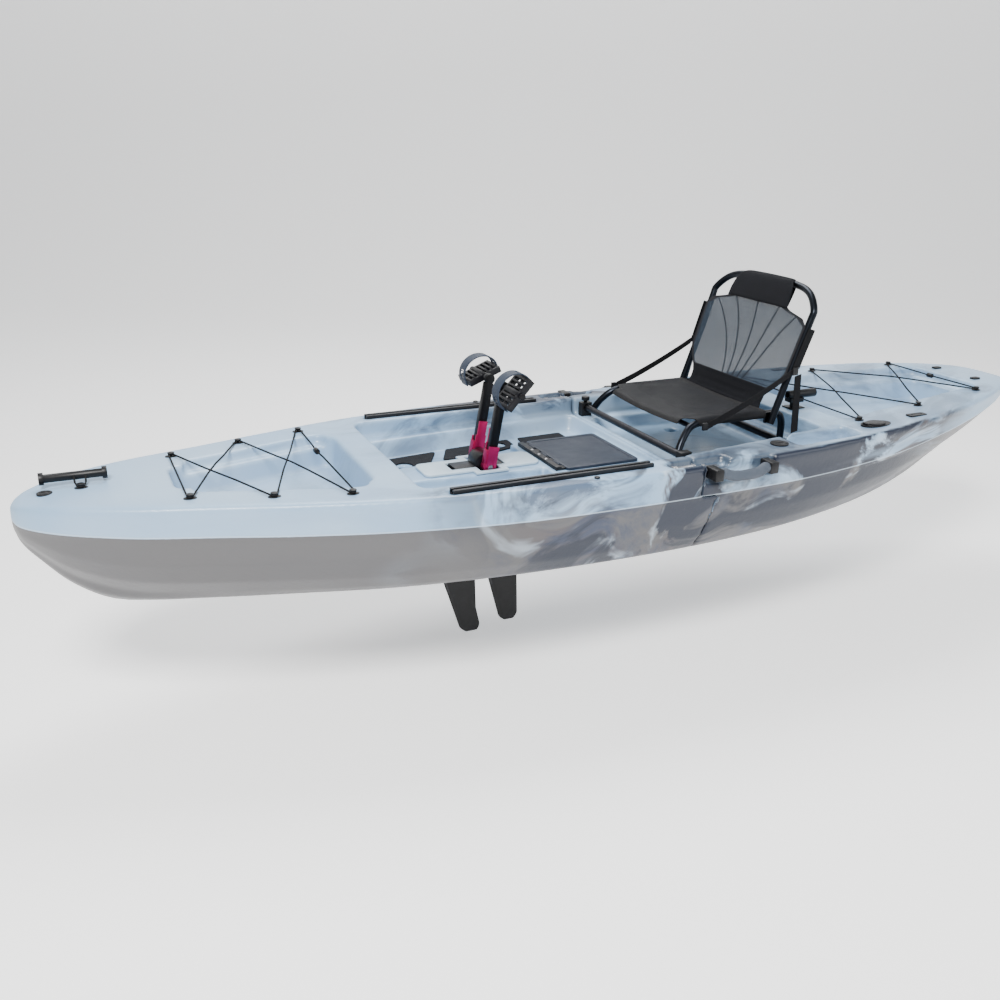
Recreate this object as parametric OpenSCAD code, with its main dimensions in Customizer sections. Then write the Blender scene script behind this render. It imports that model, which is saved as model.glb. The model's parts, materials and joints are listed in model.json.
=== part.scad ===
// Two-section sit-on-top pedal boat: a split moulded hull with a flapping-fin
// pedal drive, a framed folding seat, laced tank wells and deck fittings.
// Bow towards -X, port side -Y, keel baseline at Z = 0, origin amidships.

/* [Hull] */
// overall length of the boat
boat_length = 3320; // [2800:10:3900]
// beam at the sheer amidships
boat_beam = 890; // [820:5:1000]
// depth of the hull from keel baseline to the midship sheer
hull_depth = 318; // [300:1:345]
// wall of the moulded shell
wall = 5; // [4:0.5:6]
// gap between the two hull sections at the split
split_gap = 1; // [0.6:0.1:2]
// cockpit floor above the keel baseline
floor_z = 214; // [205:1:222]

/* [Cockpit] */
// half width of the footwell between its side walls
foot_half = 318; // [300:1:322]
// half width of the raised centre island
island_half = 62; // [60:1:70]
// height of the centre island above the floor
island_rise = 30; // [22:1:36]
// radius of a scupper hole
scupper_r = 19; // [14:0.5:22]
// thickness of the foam deck pads
pad_thick = 5; // [3:0.5:6]

/* [Hatch] */
// length of the hatch lid
lid_length = 245; // [220:1:248]
// width of the hatch lid
lid_width = 286; // [250:1:290]
// thickness of the hatch lid
lid_thick = 10; // [8:0.5:12]

/* [Drive] */
// distance from crank pivot to pedal axle
crank_reach = 263; // [240:1:280]
// width of one crank tube
tube_w = 20; // [16:1:24]
// width of a pedal plate
pedal_w = 92; // [80:1:98]
// length of a pedal plate
pedal_l = 104; // [90:1:112]
// length of the front fin below its mast head
fin_reach = 300; // [240:5:330]
// thickness of a fin at its mast
fin_thick = 14; // [12:0.5:18]

/* [Seat] */
// width between the seat side tubes
seat_width = 440; // [400:5:450]
// radius of the seat tubes
seat_tube_r = 11; // [9:0.5:12]
// height of the seat back above its pivot
back_height = 420; // [360:5:430]
// lean of the seat back from the vertical, degrees
back_lean = 19; // [15:1:25]

/* [Deck fittings] */
// radius of the flush rod holder tube bore
holder_r = 20; // [17:0.5:21]
// length of a gear track
track_length = 596; // [520:2:600]
// radius of the lacing cord
cord_r = 2.5; // [2:0.1:3]
// radius of the side carry handle
grip_r = 15; // [12:0.5:16]

/* [Hidden] */
$fn = 32;

kx = boat_length / 3320;
ky = boat_beam / 890;
kz = hull_depth / 318;

// hand-set hull stations: x, keel z, bilge y, bilge z, seam y, seam z, sheer y, sheer z
stations = [
  [-1660, 238, 10, 246, 22, 266, 12, 292],
  [-1644, 192, 24, 208, 58, 258, 50, 304],
  [-1604, 140, 42, 168, 98, 254, 92, 312],
  [-1544, 74, 62, 116, 136, 250, 132, 318],
  [-1460, 20, 86, 76, 176, 246, 172, 320],
  [-1360, 5, 118, 56, 214, 242, 212, 320],
  [-1200, 1, 170, 50, 260, 238, 258, 319],
  [-1000, 0, 232, 48, 316, 232, 320, 318],
  [-750, 0, 304, 47, 376, 228, 386, 318],
  [-450, 0, 352, 46, 420, 225, 430, 318],
  [-100, 0, 374, 46, 433, 224, 444, 318],
  [250, 0, 372, 50, 434, 226, 445, 322],
  [550, 2, 346, 62, 424, 233, 438, 330],
  [850, 8, 292, 92, 392, 249, 410, 342],
  [1100, 26, 222, 140, 336, 270, 352, 353],
  [1320, 70, 142, 196, 268, 290, 284, 360],
  [1490, 132, 84, 250, 196, 306, 208, 363],
  [1600, 200, 48, 286, 130, 318, 138, 362],
  [1648, 250, 26, 308, 78, 326, 82, 358],
  [1660, 276, 14, 312, 40, 330, 42, 350]
];
n_st = len(stations);
sub = 3;
rings = (n_st - 1) * sub + 1;
split_x = 92;
split_step_x = 150;
split_step_z = 222;

function clampi(i) = max(0, min(n_st - 1, i));
function knot(i, u) =
  let (a = stations[clampi(i - 1)], b = stations[i], c = stations[clampi(i + 1)],
       d = stations[clampi(i + 2)])
  0.5 * (2 * b + (c - a) * u + (2 * a - 5 * b + 4 * c - d) * u * u
         + (3 * b - a - 3 * c + d) * u * u * u);
function station(j) =
  let (i = min(n_st - 2, floor(j / sub)), u = j / sub - i)
  knot(i, u);

// half section of the hull from keel to deck centre, drawn in by t
function half_section(s, t) =
  let (zk = s[1] * kz + t, yb = max(2, s[2] * ky - t), zb = s[3] * kz + 0.8 * t,
       ys = max(3, s[4] * ky - t), zs = s[5] * kz, b = max(3, s[6] * ky - t),
       zd = s[7] * kz - t, e = min(14, 0.4 * b))
  [
    [0, zk],
    [0.34 * yb, zk + 0.06 * (zb - zk)],
    [0.66 * yb, zk + 0.22 * (zb - zk)],
    [0.88 * yb, zk + 0.52 * (zb - zk)],
    [yb, zb],
    [yb + 0.42 * (ys - yb), zb + 0.24 * (zs - zb)],
    [yb + 0.76 * (ys - yb), zb + 0.56 * (zs - zb)],
    [ys - 2, zs - 4],
    [ys + 2, zs],
    [ys + 0.35 * (b - ys), zs + 0.42 * (zd - zs)],
    [b, zd - 0.8 * e],
    [b - 0.3 * e, zd - 0.25 * e],
    [b - e, zd],
    [0, zd + 0.5]
  ];
half_n = 14;
ring_n = 2 * half_n - 2;
function ring_at(j, t) =
  let (s = station(j), h = half_section(s, t), x = s[0] * kx,
       xe = max(-1660 * kx + 1.6 * t, min(1660 * kx - 1.6 * t, x)))
  [for (i = [0:ring_n - 1])
    let (p = i < half_n ? h[i] : h[ring_n - i], side = i < half_n ? -1 : 1)
    [xe, side * p[0], p[1]]];
function quad_faces(j) =
  [for (i = [0:ring_n - 1]) for (k = [0, 1])
    let (a = j * ring_n + i, b = j * ring_n + (i + 1) % ring_n)
    k == 0 ? [a, b, b + ring_n] : [a, b + ring_n, a + ring_n]];

// the whole outer body of the boat, drawn in by t
module loft(t) {
  first = t > 0 ? 1 : 0;
  last = t > 0 ? rings - 2 : rings - 1;
  count = last - first + 1;
  pts = [for (j = [first:last]) each ring_at(j, t)];
  sides = [for (j = [0:count - 2]) each quad_faces(j)];
  cap_a = [for (i = [ring_n - 1:-1:0]) i];
  cap_b = [for (i = [0:ring_n - 1]) (count - 1) * ring_n + i];
  polyhedron(points = pts, faces = concat(sides, [cap_a, cap_b]), convexity = 8);
}

// everything forward of the split face, moved aft by g
module fore_region(g) {
  rotate([90, 0, 0])
    translate([0, 0, -600])
      linear_extrude(height = 1200)
        polygon([[-2200, -50], [split_x + 6 + g, -50], [split_step_x + g, split_step_z + g],
                 [split_x + g, split_step_z + g], [split_x + g, 600], [-2200, 600]]);
}

// straight-sided tapered pocket with rounded corners, grown by g
module pocket(x0, x1, wa, wb, z0, z1, draft, r, g) {
  hull() {
    for (e = [[x0, wa, 1], [x1, wb, -1]]) {
      for (s = [-1, 1]) {
        translate([e[0] + e[2] * r, s * (e[1] - r), z1 - 1])
          cylinder(r = r + g, h = 1, $fn = 20);
        translate([e[0] + e[2] * (0.7 * r + draft), s * (e[1] - 0.7 * r - draft), z0 - g])
          cylinder(r = r * 0.7 + g, h = 1, $fn = 20);
      }
    }
  }
}

// pocket off the centreline, between two y values, on both sides
module side_pocket(x0, x1, y0, y1, z0, z1, draft, r, g) {
  for (m = [0, 1]) {
    mirror([0, m, 0])
      translate([0, -(y0 + y1) / 2, 0])
        pocket(x0, x1, (y1 - y0) / 2, (y1 - y0) / 2, z0, z1, draft, r, g);
  }
}

sky = 470;
track_x0 = -636;
track_y = 368;
track_z = 302;
track_h = 23;
well_fore_z = 226;
ledge_z = 268;
island_x0 = -690;
island_x1 = -232;
slot_x0 = -566;
slot_x1 = -246;
slot_half = 42;
hatch_x0 = -214;
hatch_x1 = 70;
coaming_z = floor_z + island_rise;
tub_z = 120;
scuppers = [[-585, 150], [-235, 236]];
rear_scuppers = [[380, 160]];

module front_pockets(g) {
  // front tank well between the lacing eyes
  pocket(-1290, -770, 108, 228, well_fore_z, sky, 26, 40, g);
  // upper lip of the front well, wider and shallow
  pocket(-1240, -800, 140, 246, 290, sky, 8, 40, g);
  // footwell down to the side ledges
  pocket(-700, split_x + 80, 322, 346, ledge_z, sky, 8, 36, g);
  // footwell down to the floor around the raised centre
  difference() {
    pocket(-690, 86, 262, foot_half, floor_z, ledge_z + 2, 18, 34, g);
    difference() {
      union() {
        pocket(island_x0 + g, island_x1 - g, island_half - g, island_half + 34 - g,
               floor_z - 60, coaming_z - g, -10, 26, 0);
        translate([hatch_x0 - 14 + g, -lid_width / 2 - 16 + g, floor_z - 60])
          cube([hatch_x1 - hatch_x0 + 60 - 2 * g, lid_width + 32 - 2 * g,
                coaming_z - floor_z + 60 - g]);
      }
      // recess that the lid drops into
      translate([hatch_x0 - g, -lid_width / 2 - 3 - g, coaming_z - 2])
        cube([hatch_x1 - hatch_x0 + 2 * g, lid_width + 6 + 2 * g, 40]);
    }
  }
  // hatch tub under the lid
  pocket(-178, 40, 118, 118, tub_z, coaming_z + 4, 6, 24, g);
  // round dished recess beside the island
  translate([-330, -66, coaming_z - 12 - g])
    cylinder(r1 = 14 + g, r2 = 24 + g, h = 40);
  // clearance around the crank hubs
  translate([pivot_x - 34 - g, -71 - g, 226 - g])
    cube([68 + 2 * g, 142 + 2 * g, 60]);
  // shallow dish around the drain plug
  translate([plug_x * kx, 0, deck_at(plug_x * kx) - 2.4 - g])
    cylinder(r = 21 + g, h = 40);
  // slots along the gunwale tops for the gear tracks
  for (s = [-1, 1]) {
    translate([track_x0 - 6 - g, s * track_y - 17 - g, track_z - 0.3 - g])
      cube([track_length + 12 + 2 * g, 34 + 2 * g, 60]);
  }
  // latch pockets at the split
  latch_pockets(g);
}

module latch_pockets(g) {
  for (s = [-1, 1]) {
    translate([0 - g, s * 398 - 21 - g, 296 - g])
      cube([split_x + 100 + 2 * g, 42 + 2 * g, 60]);
  }
}

module rear_pockets(g) {
  // seat well floor and its side ledges
  pocket(split_x - 80, 640, 340, 296, ledge_z, sky, 8, 34, g);
  pocket(112, 600, 262, 226, 226, ledge_z + 2, 18, 34, g);
  // rear tank well behind the seat, with a shallow lip
  pocket(752, 1440, 236, 132, 246, sky, 26, 46, g);
  pocket(736, 1458, 258, 160, 324, sky, 8, 46, g);
  // long side trays beside the deck
  side_pocket(452, 700, 296, 402, 272, sky, 8, 18, g);
  // notch behind each carry handle
  for (m = [0, 1]) {
    mirror([0, m, 0])
      translate([100 - g, -560, 262 - g])
        cube([230 + 2 * g, 138 + g, 200]);
  }
  // flat seats let into the deck
  deck_seats(g);
  latch_pockets(g);
}

module hull_front() {
  color([0.74, 0.8, 0.86])
    difference() {
      difference() {
        intersection() {
          loft(0);
          fore_region(0);
        }
        front_pockets(0);
      }
      // inside of the shell
      difference() {
        intersection() {
          loft(wall);
          fore_region(-wall);
        }
        front_pockets(wall);
        front_columns(wall);
      }
      front_columns(0);
      front_holes();
    }
}

// through columns: scuppers and the drive slot, grown by g
module front_columns(g) {
  for (p = scuppers) {
    for (s = [-1, 1]) {
      translate([p[0], s * p[1], -20])
        cylinder(r = scupper_r + g, h = 400);
    }
  }
  hull() {
    for (x = [slot_x0 + 20, slot_x1 - 20]) {
      for (s = [-1, 1]) {
        translate([x, s * (slot_half - 20), -30])
          cylinder(r = 20 + g, h = 420, $fn = 24);
      }
    }
  }
}

plug_x = -1578;
module front_holes() {
  // drain hole in the bow deck opens the shell
  translate([plug_x * kx, 0, 280])
    cylinder(r = 12, h = 60);
  // screw pocket row for the pad eyes is blind in the deck
  for (p = concat(front_eyes, [[bow_eye_x, 0]])) {
    for (s = [-1, 1]) {
      translate([p[0], s * p[1], deck_at(p[0]) - 4])
        cylinder(r = 2.6, h = 12, $fn = 16);
    }
  }
}

module hull_rear() {
  color([0.72, 0.78, 0.84])
    difference() {
      difference() {
        loft(0);
        fore_region(split_gap);
        rear_pockets(0);
      }
      difference() {
        loft(wall);
        fore_region(split_gap + wall);
        rear_pockets(wall);
        rear_columns(wall);
      }
      rear_columns(0);
      rear_holes();
    }
}

holder_x = 790;
holder_y = 348;
holder_tilt = 28;
holder_depth = 190;
// wider mouth above the bore, and how far down it starts
mouth_rise = 3.4;
mouth_wall = 2.6;
mouth_at = -10;
module holder_frame(m) {
  mirror([0, m, 0])
    translate([holder_x, -holder_y, deck_at(holder_x)])
      rotate([0, holder_tilt, 0])
        children();
}

module rear_columns(g) {
  for (p = rear_scuppers) {
    for (s = [-1, 1]) {
      translate([p[0], s * p[1], -20])
        cylinder(r = scupper_r + g, h = 400);
    }
  }
  // blind tubes of the angled rod holders
  for (m = [0, 1]) {
    holder_frame(m)
      translate([0, 0, -holder_depth + (g > 0 ? -g : 0)])
        cylinder(r = holder_r + 3.3 + g, h = holder_depth + 60);
    holder_frame(m)
      translate([0, 0, mouth_at - 4.3 - g])
        cylinder(r = holder_r + mouth_rise + mouth_wall + 0.3 + g, h = 90);
  }
  // blind tubes under the round caps
  for (s = [-1, 1]) {
    translate([cap_x, s * cap_y, 296 - g])
      cylinder(r = cap_r - 6 + g, h = 200);
    for (x = plate_holes) {
      translate([x, s * plate_y, deck_at(x) - 22 - g])
        cylinder(r = 4.5 + g, h = 60, $fn = 20);
    }
  }
}

module deck_seats(g) {
  both_sides() {
    translate([holder_x, -holder_y, deck_at(holder_x) - seat_dip - g])
      linear_extrude(height = 60)
        offset(delta = g + 0.4)
          scale([1.9, 1])
            circle(r = 29);
    translate([plate_x, -plate_y, deck_at(plate_x) - seat_dip - g])
      round_plate(73 + 2 * g, 29 + 2 * g, 60, 8);
    translate([cap_x, -cap_y, deck_at(cap_x) - seat_dip - g])
      cylinder(r = cap_r + 0.5 + g, h = 60);
  }
  translate([bracket_x - 29 - g, -107 - g, deck_at(bracket_x) - seat_dip - g])
    cube([58 + 2 * g, 50 + 2 * g, 60]);
}
seat_dip = 2;
cap_x = 404;
cap_y = 366;
cap_r = 27;
plate_x = 972;
plate_y = 334;
plate_holes = [plate_x - 20, plate_x + 20];
module rear_holes() {
  // inspection hole in the stern deck opens the shell
  translate([1560 * kx, 0, 330])
    cylinder(r = 9, h = 60);
  for (p = rear_eyes) {
    for (s = [-1, 1]) {
      translate([p[0], s * p[1], deck_at(p[0]) - 4])
        cylinder(r = 2.6, h = 12, $fn = 16);
    }
  }
}

// deck height at x, read from the stations
function deck_at(x) =
  let (i = max([for (k = [0:n_st - 2]) stations[k][0] * kx <= x ? k : 0]),
       u = (x / kx - stations[i][0]) / (stations[i + 1][0] - stations[i][0]))
  knot(i, min(1, max(0, u)))[7] * kz + 0.5;

front_eyes = [[-1252, 178], [-1058, 240], [-871, 290]];
rear_eyes = [[776, 292], [1056, 258], [1376, 205]];
bow_eye_x = -1492;

// a drainage plug, flanged and slotted
module drain_plug() {
  color([0.05, 0.05, 0.05])
    translate([plug_x * kx, 0, deck_at(plug_x * kx) - 2.4])
      difference() {
        union() {
          translate([0, 0, 0.4])
            cylinder(r = 19, h = 5);
          translate([0, 0, -12])
            cylinder(r = 11.7, h = 13);
        }
        translate([-12, -1.6, 3.4])
          cube([24, 3.2, 6]);
      }
}

// ---- plain helpers ----
// round rod between two points
module rod(a, b, r) {
  v = b - a;
  len = norm(v);
  translate(a)
    rotate([0, acos(v[2] / len), atan2(v[1], v[0])])
      cylinder(r = r, h = len);
}

module both_sides() {
  children();
  mirror([0, 1, 0])
    children();
}

// flat plate with rounded corners, centred, standing on z = 0
module round_plate(l, w, h, r) {
  linear_extrude(height = h)
    translate([-l / 2 + r, -w / 2 + r])
      offset(r = r)
        square([l - 2 * r, w - 2 * r]);
}

// cylinder along Y from y0 to y1
module y_rod(x, z, y0, y1, r) {
  translate([x, y1, z])
    rotate([90, 0, 0])
      cylinder(r = r, h = y1 - y0);
}

// cylinder along X from x0 to x1
module x_rod(x0, x1, y, z, r) {
  translate([x0, y, z])
    rotate([0, 90, 0])
      cylinder(r = r, h = x1 - x0);
}

function unit(v) = v / norm(v);

// ---- lacing cords, swept with eight sides ----
cord_lift = 4.9;
post_r = 3.5;
function turn_pts(a, c, b) =
  let (u = unit([c[0] - a[0], c[1] - a[1]]), v = unit([b[0] - c[0], b[1] - c[1]]),
       w = unit(u - v), pu = unit(w - (w * u) * u), pv = unit(w - (w * v) * v),
       r = post_r + cord_r + 0.4)
  [for (d = [pu, unit(2 * pu + w * 2), w, unit(2 * pv + w * 2), pv])
    [c[0] + r * d[0], c[1] + r * d[1], c[2]]];
function tangent(p, i) =
  let (a = p[max(0, i - 1)], b = p[min(len(p) - 1, i + 1)]) unit(b - a);
function tube_ring(p, i, r, m, ref) =
  let (t = tangent(p, i), side = unit(cross(ref, t)), up = cross(t, side))
  [for (k = [0:m - 1]) p[i] + r * (cos(360 * k / m) * side + sin(360 * k / m) * up)];
// tube of m sides swept along a path; ref is never parallel to the path
module sweep_tube(p, r, m, ref) {
  n = len(p);
  pts = [for (i = [0:n - 1]) each tube_ring(p, i, r, m, ref)];
  sides = [for (i = [0:n - 2]) for (k = [0:m - 1]) for (h = [0, 1])
    let (a = m * i + k, b = m * i + (k + 1) % m)
    h == 0 ? [a, b + m, b] : [a, a + m, b + m]];
  polyhedron(points = pts,
             faces = concat(sides, [[for (k = [0:m - 1]) k],
                                    [for (k = [m - 1:-1:0]) m * (n - 1) + k]]),
             convexity = 6);
}
module cord(p, r) {
  sweep_tube(p, r, 8, [0, 0, 1]);
}
// smooth path through the given points, three steps to a span
function spline(p, i, u) =
  let (n = len(p), a = p[max(0, i - 1)], b = p[i], c = p[i + 1], d = p[min(n - 1, i + 2)])
  0.5 * (2 * b + (c - a) * u + (2 * a - 5 * b + 4 * c - d) * u * u
         + (3 * b - a - 3 * c + d) * u * u * u);
function smooth(p) =
  concat([for (i = [0:len(p) - 2]) for (k = [0:2]) spline(p, i, k / 3)], [p[len(p) - 1]]);
function eye_at(e, s) = [e[0], s * e[1], deck_at(e[0]) + cord_lift];
function mid_up(a, b, up) =
  [for (f = [0.35, 0.5, 0.65]) a + f * (b - a) + [0, 0, f == 0.5 ? up : 0.7 * up]];
lock_y = 70;
function lacing(e, lock, rise) =
  let (p1 = eye_at(e[0], -1), s1 = eye_at(e[0], 1), p2 = eye_at(e[1], -1),
       s2 = eye_at(e[1], 1), p3 = eye_at(e[2], -1), s3 = eye_at(e[2], 1))
  concat([[e[2][0], lock + 11, p3[2]], [e[2][0] + 3, lock + 60, p3[2]]],
         turn_pts([e[2][0], lock, 0], s3, p2), mid_up(s3, p2, 0),
         turn_pts(s3, p2, s1), mid_up(p2, s1, 0),
         turn_pts(p2, s1, p1), turn_pts(s1, p1, s2),
         mid_up(p1, s2, rise), turn_pts(p1, s2, p3), mid_up(s2, p3, rise),
         turn_pts(s2, p3, [e[2][0], lock, 0]),
         [[e[2][0] + 3, lock - 60, p3[2]], [e[2][0], lock - 11, p3[2]]]);

module lacing_front() {
  color([0.05, 0.05, 0.05])
    cord(lacing(front_eyes, lock_y, 9), cord_r);
}
module lacing_rear() {
  color([0.05, 0.05, 0.05])
    cord(lacing(rear_eyes, 0, 9), cord_r);
}

module cord_lock() {
  color([0.06, 0.06, 0.06]) {
    translate([front_eyes[2][0], lock_y, deck_at(front_eyes[2][0]) + cord_lift])
      rotate([90, 0, 0])
        cylinder(r = 8, h = 21.6, center = true);
    translate([rear_eyes[2][0], 0, deck_at(rear_eyes[2][0]) + cord_lift])
      rotate([90, 0, 0])
        cylinder(r = 8, h = 21.6, center = true);
  }
}

// one lashing button: oval base, post and cap
module lash_eye(p) {
  translate([p[0], p[1], deck_at(p[0]) + 0.2]) {
    linear_extrude(height = 1.6)
      scale([1.5, 1])
        circle(r = 11);
    cylinder(r = post_r, h = 10);
    translate([0, 0, 8.2])
      cylinder(r = 9.5, h = 3.2);
  }
  translate([p[0], p[1], deck_at(p[0]) - 3.6])
    cylinder(r = 2.4, h = 4);
}
module pad_eyes() {
  color([0.05, 0.05, 0.05]) {
    for (p = concat(front_eyes, rear_eyes)) {
      for (s = [-1, 1]) {
        lash_eye([p[0], s * p[1]]);
      }
    }
    lash_eye([bow_eye_x, 0]);
  }
}

// ---- bow grip ----
grip_y = 38;
grip_lift = 22;
grip_z = deck_at(bow_eye_x) + grip_lift;
module bow_handle() {
  color([0.05, 0.05, 0.05])
    difference() {
      union() {
        x_rod(bow_eye_x - 92, bow_eye_x + 62, grip_y, grip_z, 11);
        x_rod(bow_eye_x - 96, bow_eye_x - 84, grip_y, grip_z, 16);
        x_rod(bow_eye_x + 54, bow_eye_x + 66, grip_y, grip_z, 16);
      }
      y_rod(bow_eye_x - 14, grip_z, grip_y - 30, grip_y + 30, cord_r + 0.3);
      y_rod(bow_eye_x + 14, grip_z, grip_y - 30, grip_y + 30, cord_r + 0.3);
    }
}
bow_cord_low = deck_at(bow_eye_x) + cord_lift;
bow_cord_pts = [
  [bow_eye_x - 14, grip_y + 12, grip_z],
  [bow_eye_x - 14, grip_y - 13, grip_z],
  [bow_eye_x - 13, 17, grip_z - 13],
  [bow_eye_x - 9.5, 5, bow_cord_low],
  [bow_eye_x - 5.2, -4.4, bow_cord_low],
  [bow_eye_x, -6.8, bow_cord_low],
  [bow_eye_x + 5.2, -4.4, bow_cord_low],
  [bow_eye_x + 9.5, 5, bow_cord_low],
  [bow_eye_x + 13, 17, grip_z - 13],
  [bow_eye_x + 14, grip_y - 13, grip_z],
  [bow_eye_x + 14, grip_y + 12, grip_z]
];
module bow_handle_cord() {
  color([0.05, 0.05, 0.05])
    cord(bow_cord_pts, cord_r);
}

// ---- deck hardware ----
module track(s) {
  color([0.2, 0.2, 0.22])
    translate([track_x0, s * track_y, track_z])
      rotate([90, 0, 90])
        linear_extrude(height = track_length)
          difference() {
            translate([-15, 0])
              square([30, track_h]);
            translate([-4.5, track_h - 6])
              square([9, 10]);
            translate([-9, track_h - 12])
              square([18, 7]);
          }
}
module track_port() {
  track(-1);
}
module track_starboard() {
  track(1);
}

pad_z = floor_z + 0.3;
module pad_outline(pts) {
  both_sides()
    translate([0, 0, pad_z])
      linear_extrude(height = pad_thick)
        offset(r = 8)
          offset(delta = -11.5)
            polygon(pts);
}
module floor_pad_fore() {
  color([0.12, 0.12, 0.13])
    difference() {
      pad_outline([[-642, 84], [-524, 92], [-440, 250], [-640, 224]]);
      for (s = [-1, 1]) {
        translate([scuppers[0][0], s * scuppers[0][1], floor_z - 5])
          cylinder(r = scupper_r + 7, h = 30);
      }
    }
}
module floor_pad_mid() {
  color([0.12, 0.12, 0.13])
    difference() {
      pad_outline([[-462, 152], [-250, 178], [-182, 198], [-176, 284], [-412, 258]]);
      for (s = [-1, 1]) {
        translate([scuppers[1][0], s * scuppers[1][1], floor_z - 5])
          cylinder(r = scupper_r + 7, h = 30);
      }
    }
}
module floor_pad_aft() {
  color([0.12, 0.12, 0.13])
    pad_outline([[-160, 190], [20, 190], [20, 292], [-146, 286]]);
}

module gunwale_plugs() {
  color([0.05, 0.05, 0.05])
    both_sides()
      translate([-238, -414, deck_at(-238) - 0.2])
        cylinder(r = 8, h = 4);
}

// ---- section latches ----
latch_y = 398;
latch_floor = 296.3;
module latch_bases() {
  color([0.75, 0.76, 0.78])
    both_sides() {
      translate([14, -latch_y - 15, latch_floor])
        cube([66, 30, 2.4]);
      for (y = [-15, 12]) {
        translate([18, -latch_y + y, latch_floor])
          cube([16, 3, 12]);
      }
      y_rod(26, latch_floor + 8, -latch_y - 15, -latch_y + 15, 2);
    }
}
module latch_lever(s) {
  color([0.8, 0.81, 0.83])
    difference() {
      union() {
        y_rod(26, latch_floor + 8, s * latch_y - 11, s * latch_y + 11, 4.5);
        translate([26, s * latch_y - 11, latch_floor + 8.5])
          cube([56, 22, 3]);
        translate([80, s * latch_y - 11, latch_floor + 8.5])
          cube([3, 22, 6]);
      }
      y_rod(26, latch_floor + 8, s * latch_y - 20, s * latch_y + 20, 2.06);
    }
}
module latch_lever_port() {
  latch_lever(-1);
}
module latch_lever_starboard() {
  latch_lever(1);
}
module latch_keepers() {
  color([0.75, 0.76, 0.78])
    both_sides() {
      translate([112, -latch_y - 14, latch_floor])
        cube([56, 28, 2.4]);
      translate([112, -latch_y - 8, latch_floor])
        cube([4, 16, 9]);
      translate([112, -latch_y - 8, latch_floor + 7])
        cube([10, 16, 2.5]);
    }
}

// ---- carry handles ----
grip_x0 = 118;
grip_x1 = 306;
grip_out = 458;
grip_h = 296;
module carry_grip(s) {
  mid = (grip_x0 + grip_x1) / 2;
  color([0.42, 0.45, 0.5])
    sweep_tube(smooth([[grip_x0 + 13.8, s * grip_out, grip_h],
                       [grip_x0 + 19, s * grip_out, grip_h],
                       [grip_x0 + 26, s * grip_out, grip_h],
                       [mid - 36, s * (grip_out + 9), grip_h - 8],
                       [mid + 36, s * (grip_out + 9), grip_h - 8],
                       [grip_x1 - 26, s * grip_out, grip_h],
                       [grip_x1 - 19, s * grip_out, grip_h],
                       [grip_x1 - 14, s * grip_out, grip_h]]), grip_r, 12, [0, 0, 1]);
}
module handle_port() {
  carry_grip(-1);
}
module handle_starboard() {
  carry_grip(1);
}
module handle_caps() {
  color([0.05, 0.05, 0.06])
    both_sides() {
      for (x = [grip_x0 - 14, grip_x1 - 13.7]) {
        translate([x, -grip_out - 17, grip_h - 17])
          cube([27.4, 17 + grip_out - 422.4, 34]);
      }
    }
}

// ---- hatch ----
lid_x0 = -180;
lid_z = coaming_z - 1.7;
hinge_x = -186;
hinge_z = lid_z + 7;
module hatch_lid() {
  color([0.15, 0.17, 0.2]) {
    translate([lid_x0 + lid_length / 2, 0, lid_z])
      difference() {
        round_plate(lid_length, lid_width, lid_thick, 12);
        translate([0, 0, lid_thick - 1.5])
          round_plate(lid_length - 26, lid_width - 26, 4, 8);
      }
    for (y = [-84, 0, 84]) {
      difference() {
        union() {
          y_rod(hinge_x, hinge_z, y - 18, y + 18, 5.5);
          translate([hinge_x, y - 18, hinge_z - 4])
            cube([12, 36, 6]);
        }
        y_rod(hinge_x, hinge_z, y - 30, y + 30, 2.56);
      }
    }
  }
}
module hatch_hinge_bar() {
  color([0.08, 0.08, 0.09])
    difference() {
      union() {
        translate([-212, -132, lid_z])
          cube([18, 264, 13]);
        for (y = [-132, -60, 36, 108]) {
          translate([-196, y + 0.5, lid_z])
            cube([15.6, 23, 9]);
        }
        y_rod(hinge_x, hinge_z, -128, 128, 2.5);
      }
      for (y = [-48, 0, 48]) {
        translate([-203, y, lid_z + 10])
          cylinder(r = 5, h = 5);
      }
    }
}
module hatch_studs() {
  color([0.8, 0.8, 0.82])
    for (y = [-48, 0, 48]) {
      translate([-203, y, lid_z + 10.1])
        cylinder(r = 4.6, h = 4);
    }
}

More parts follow.
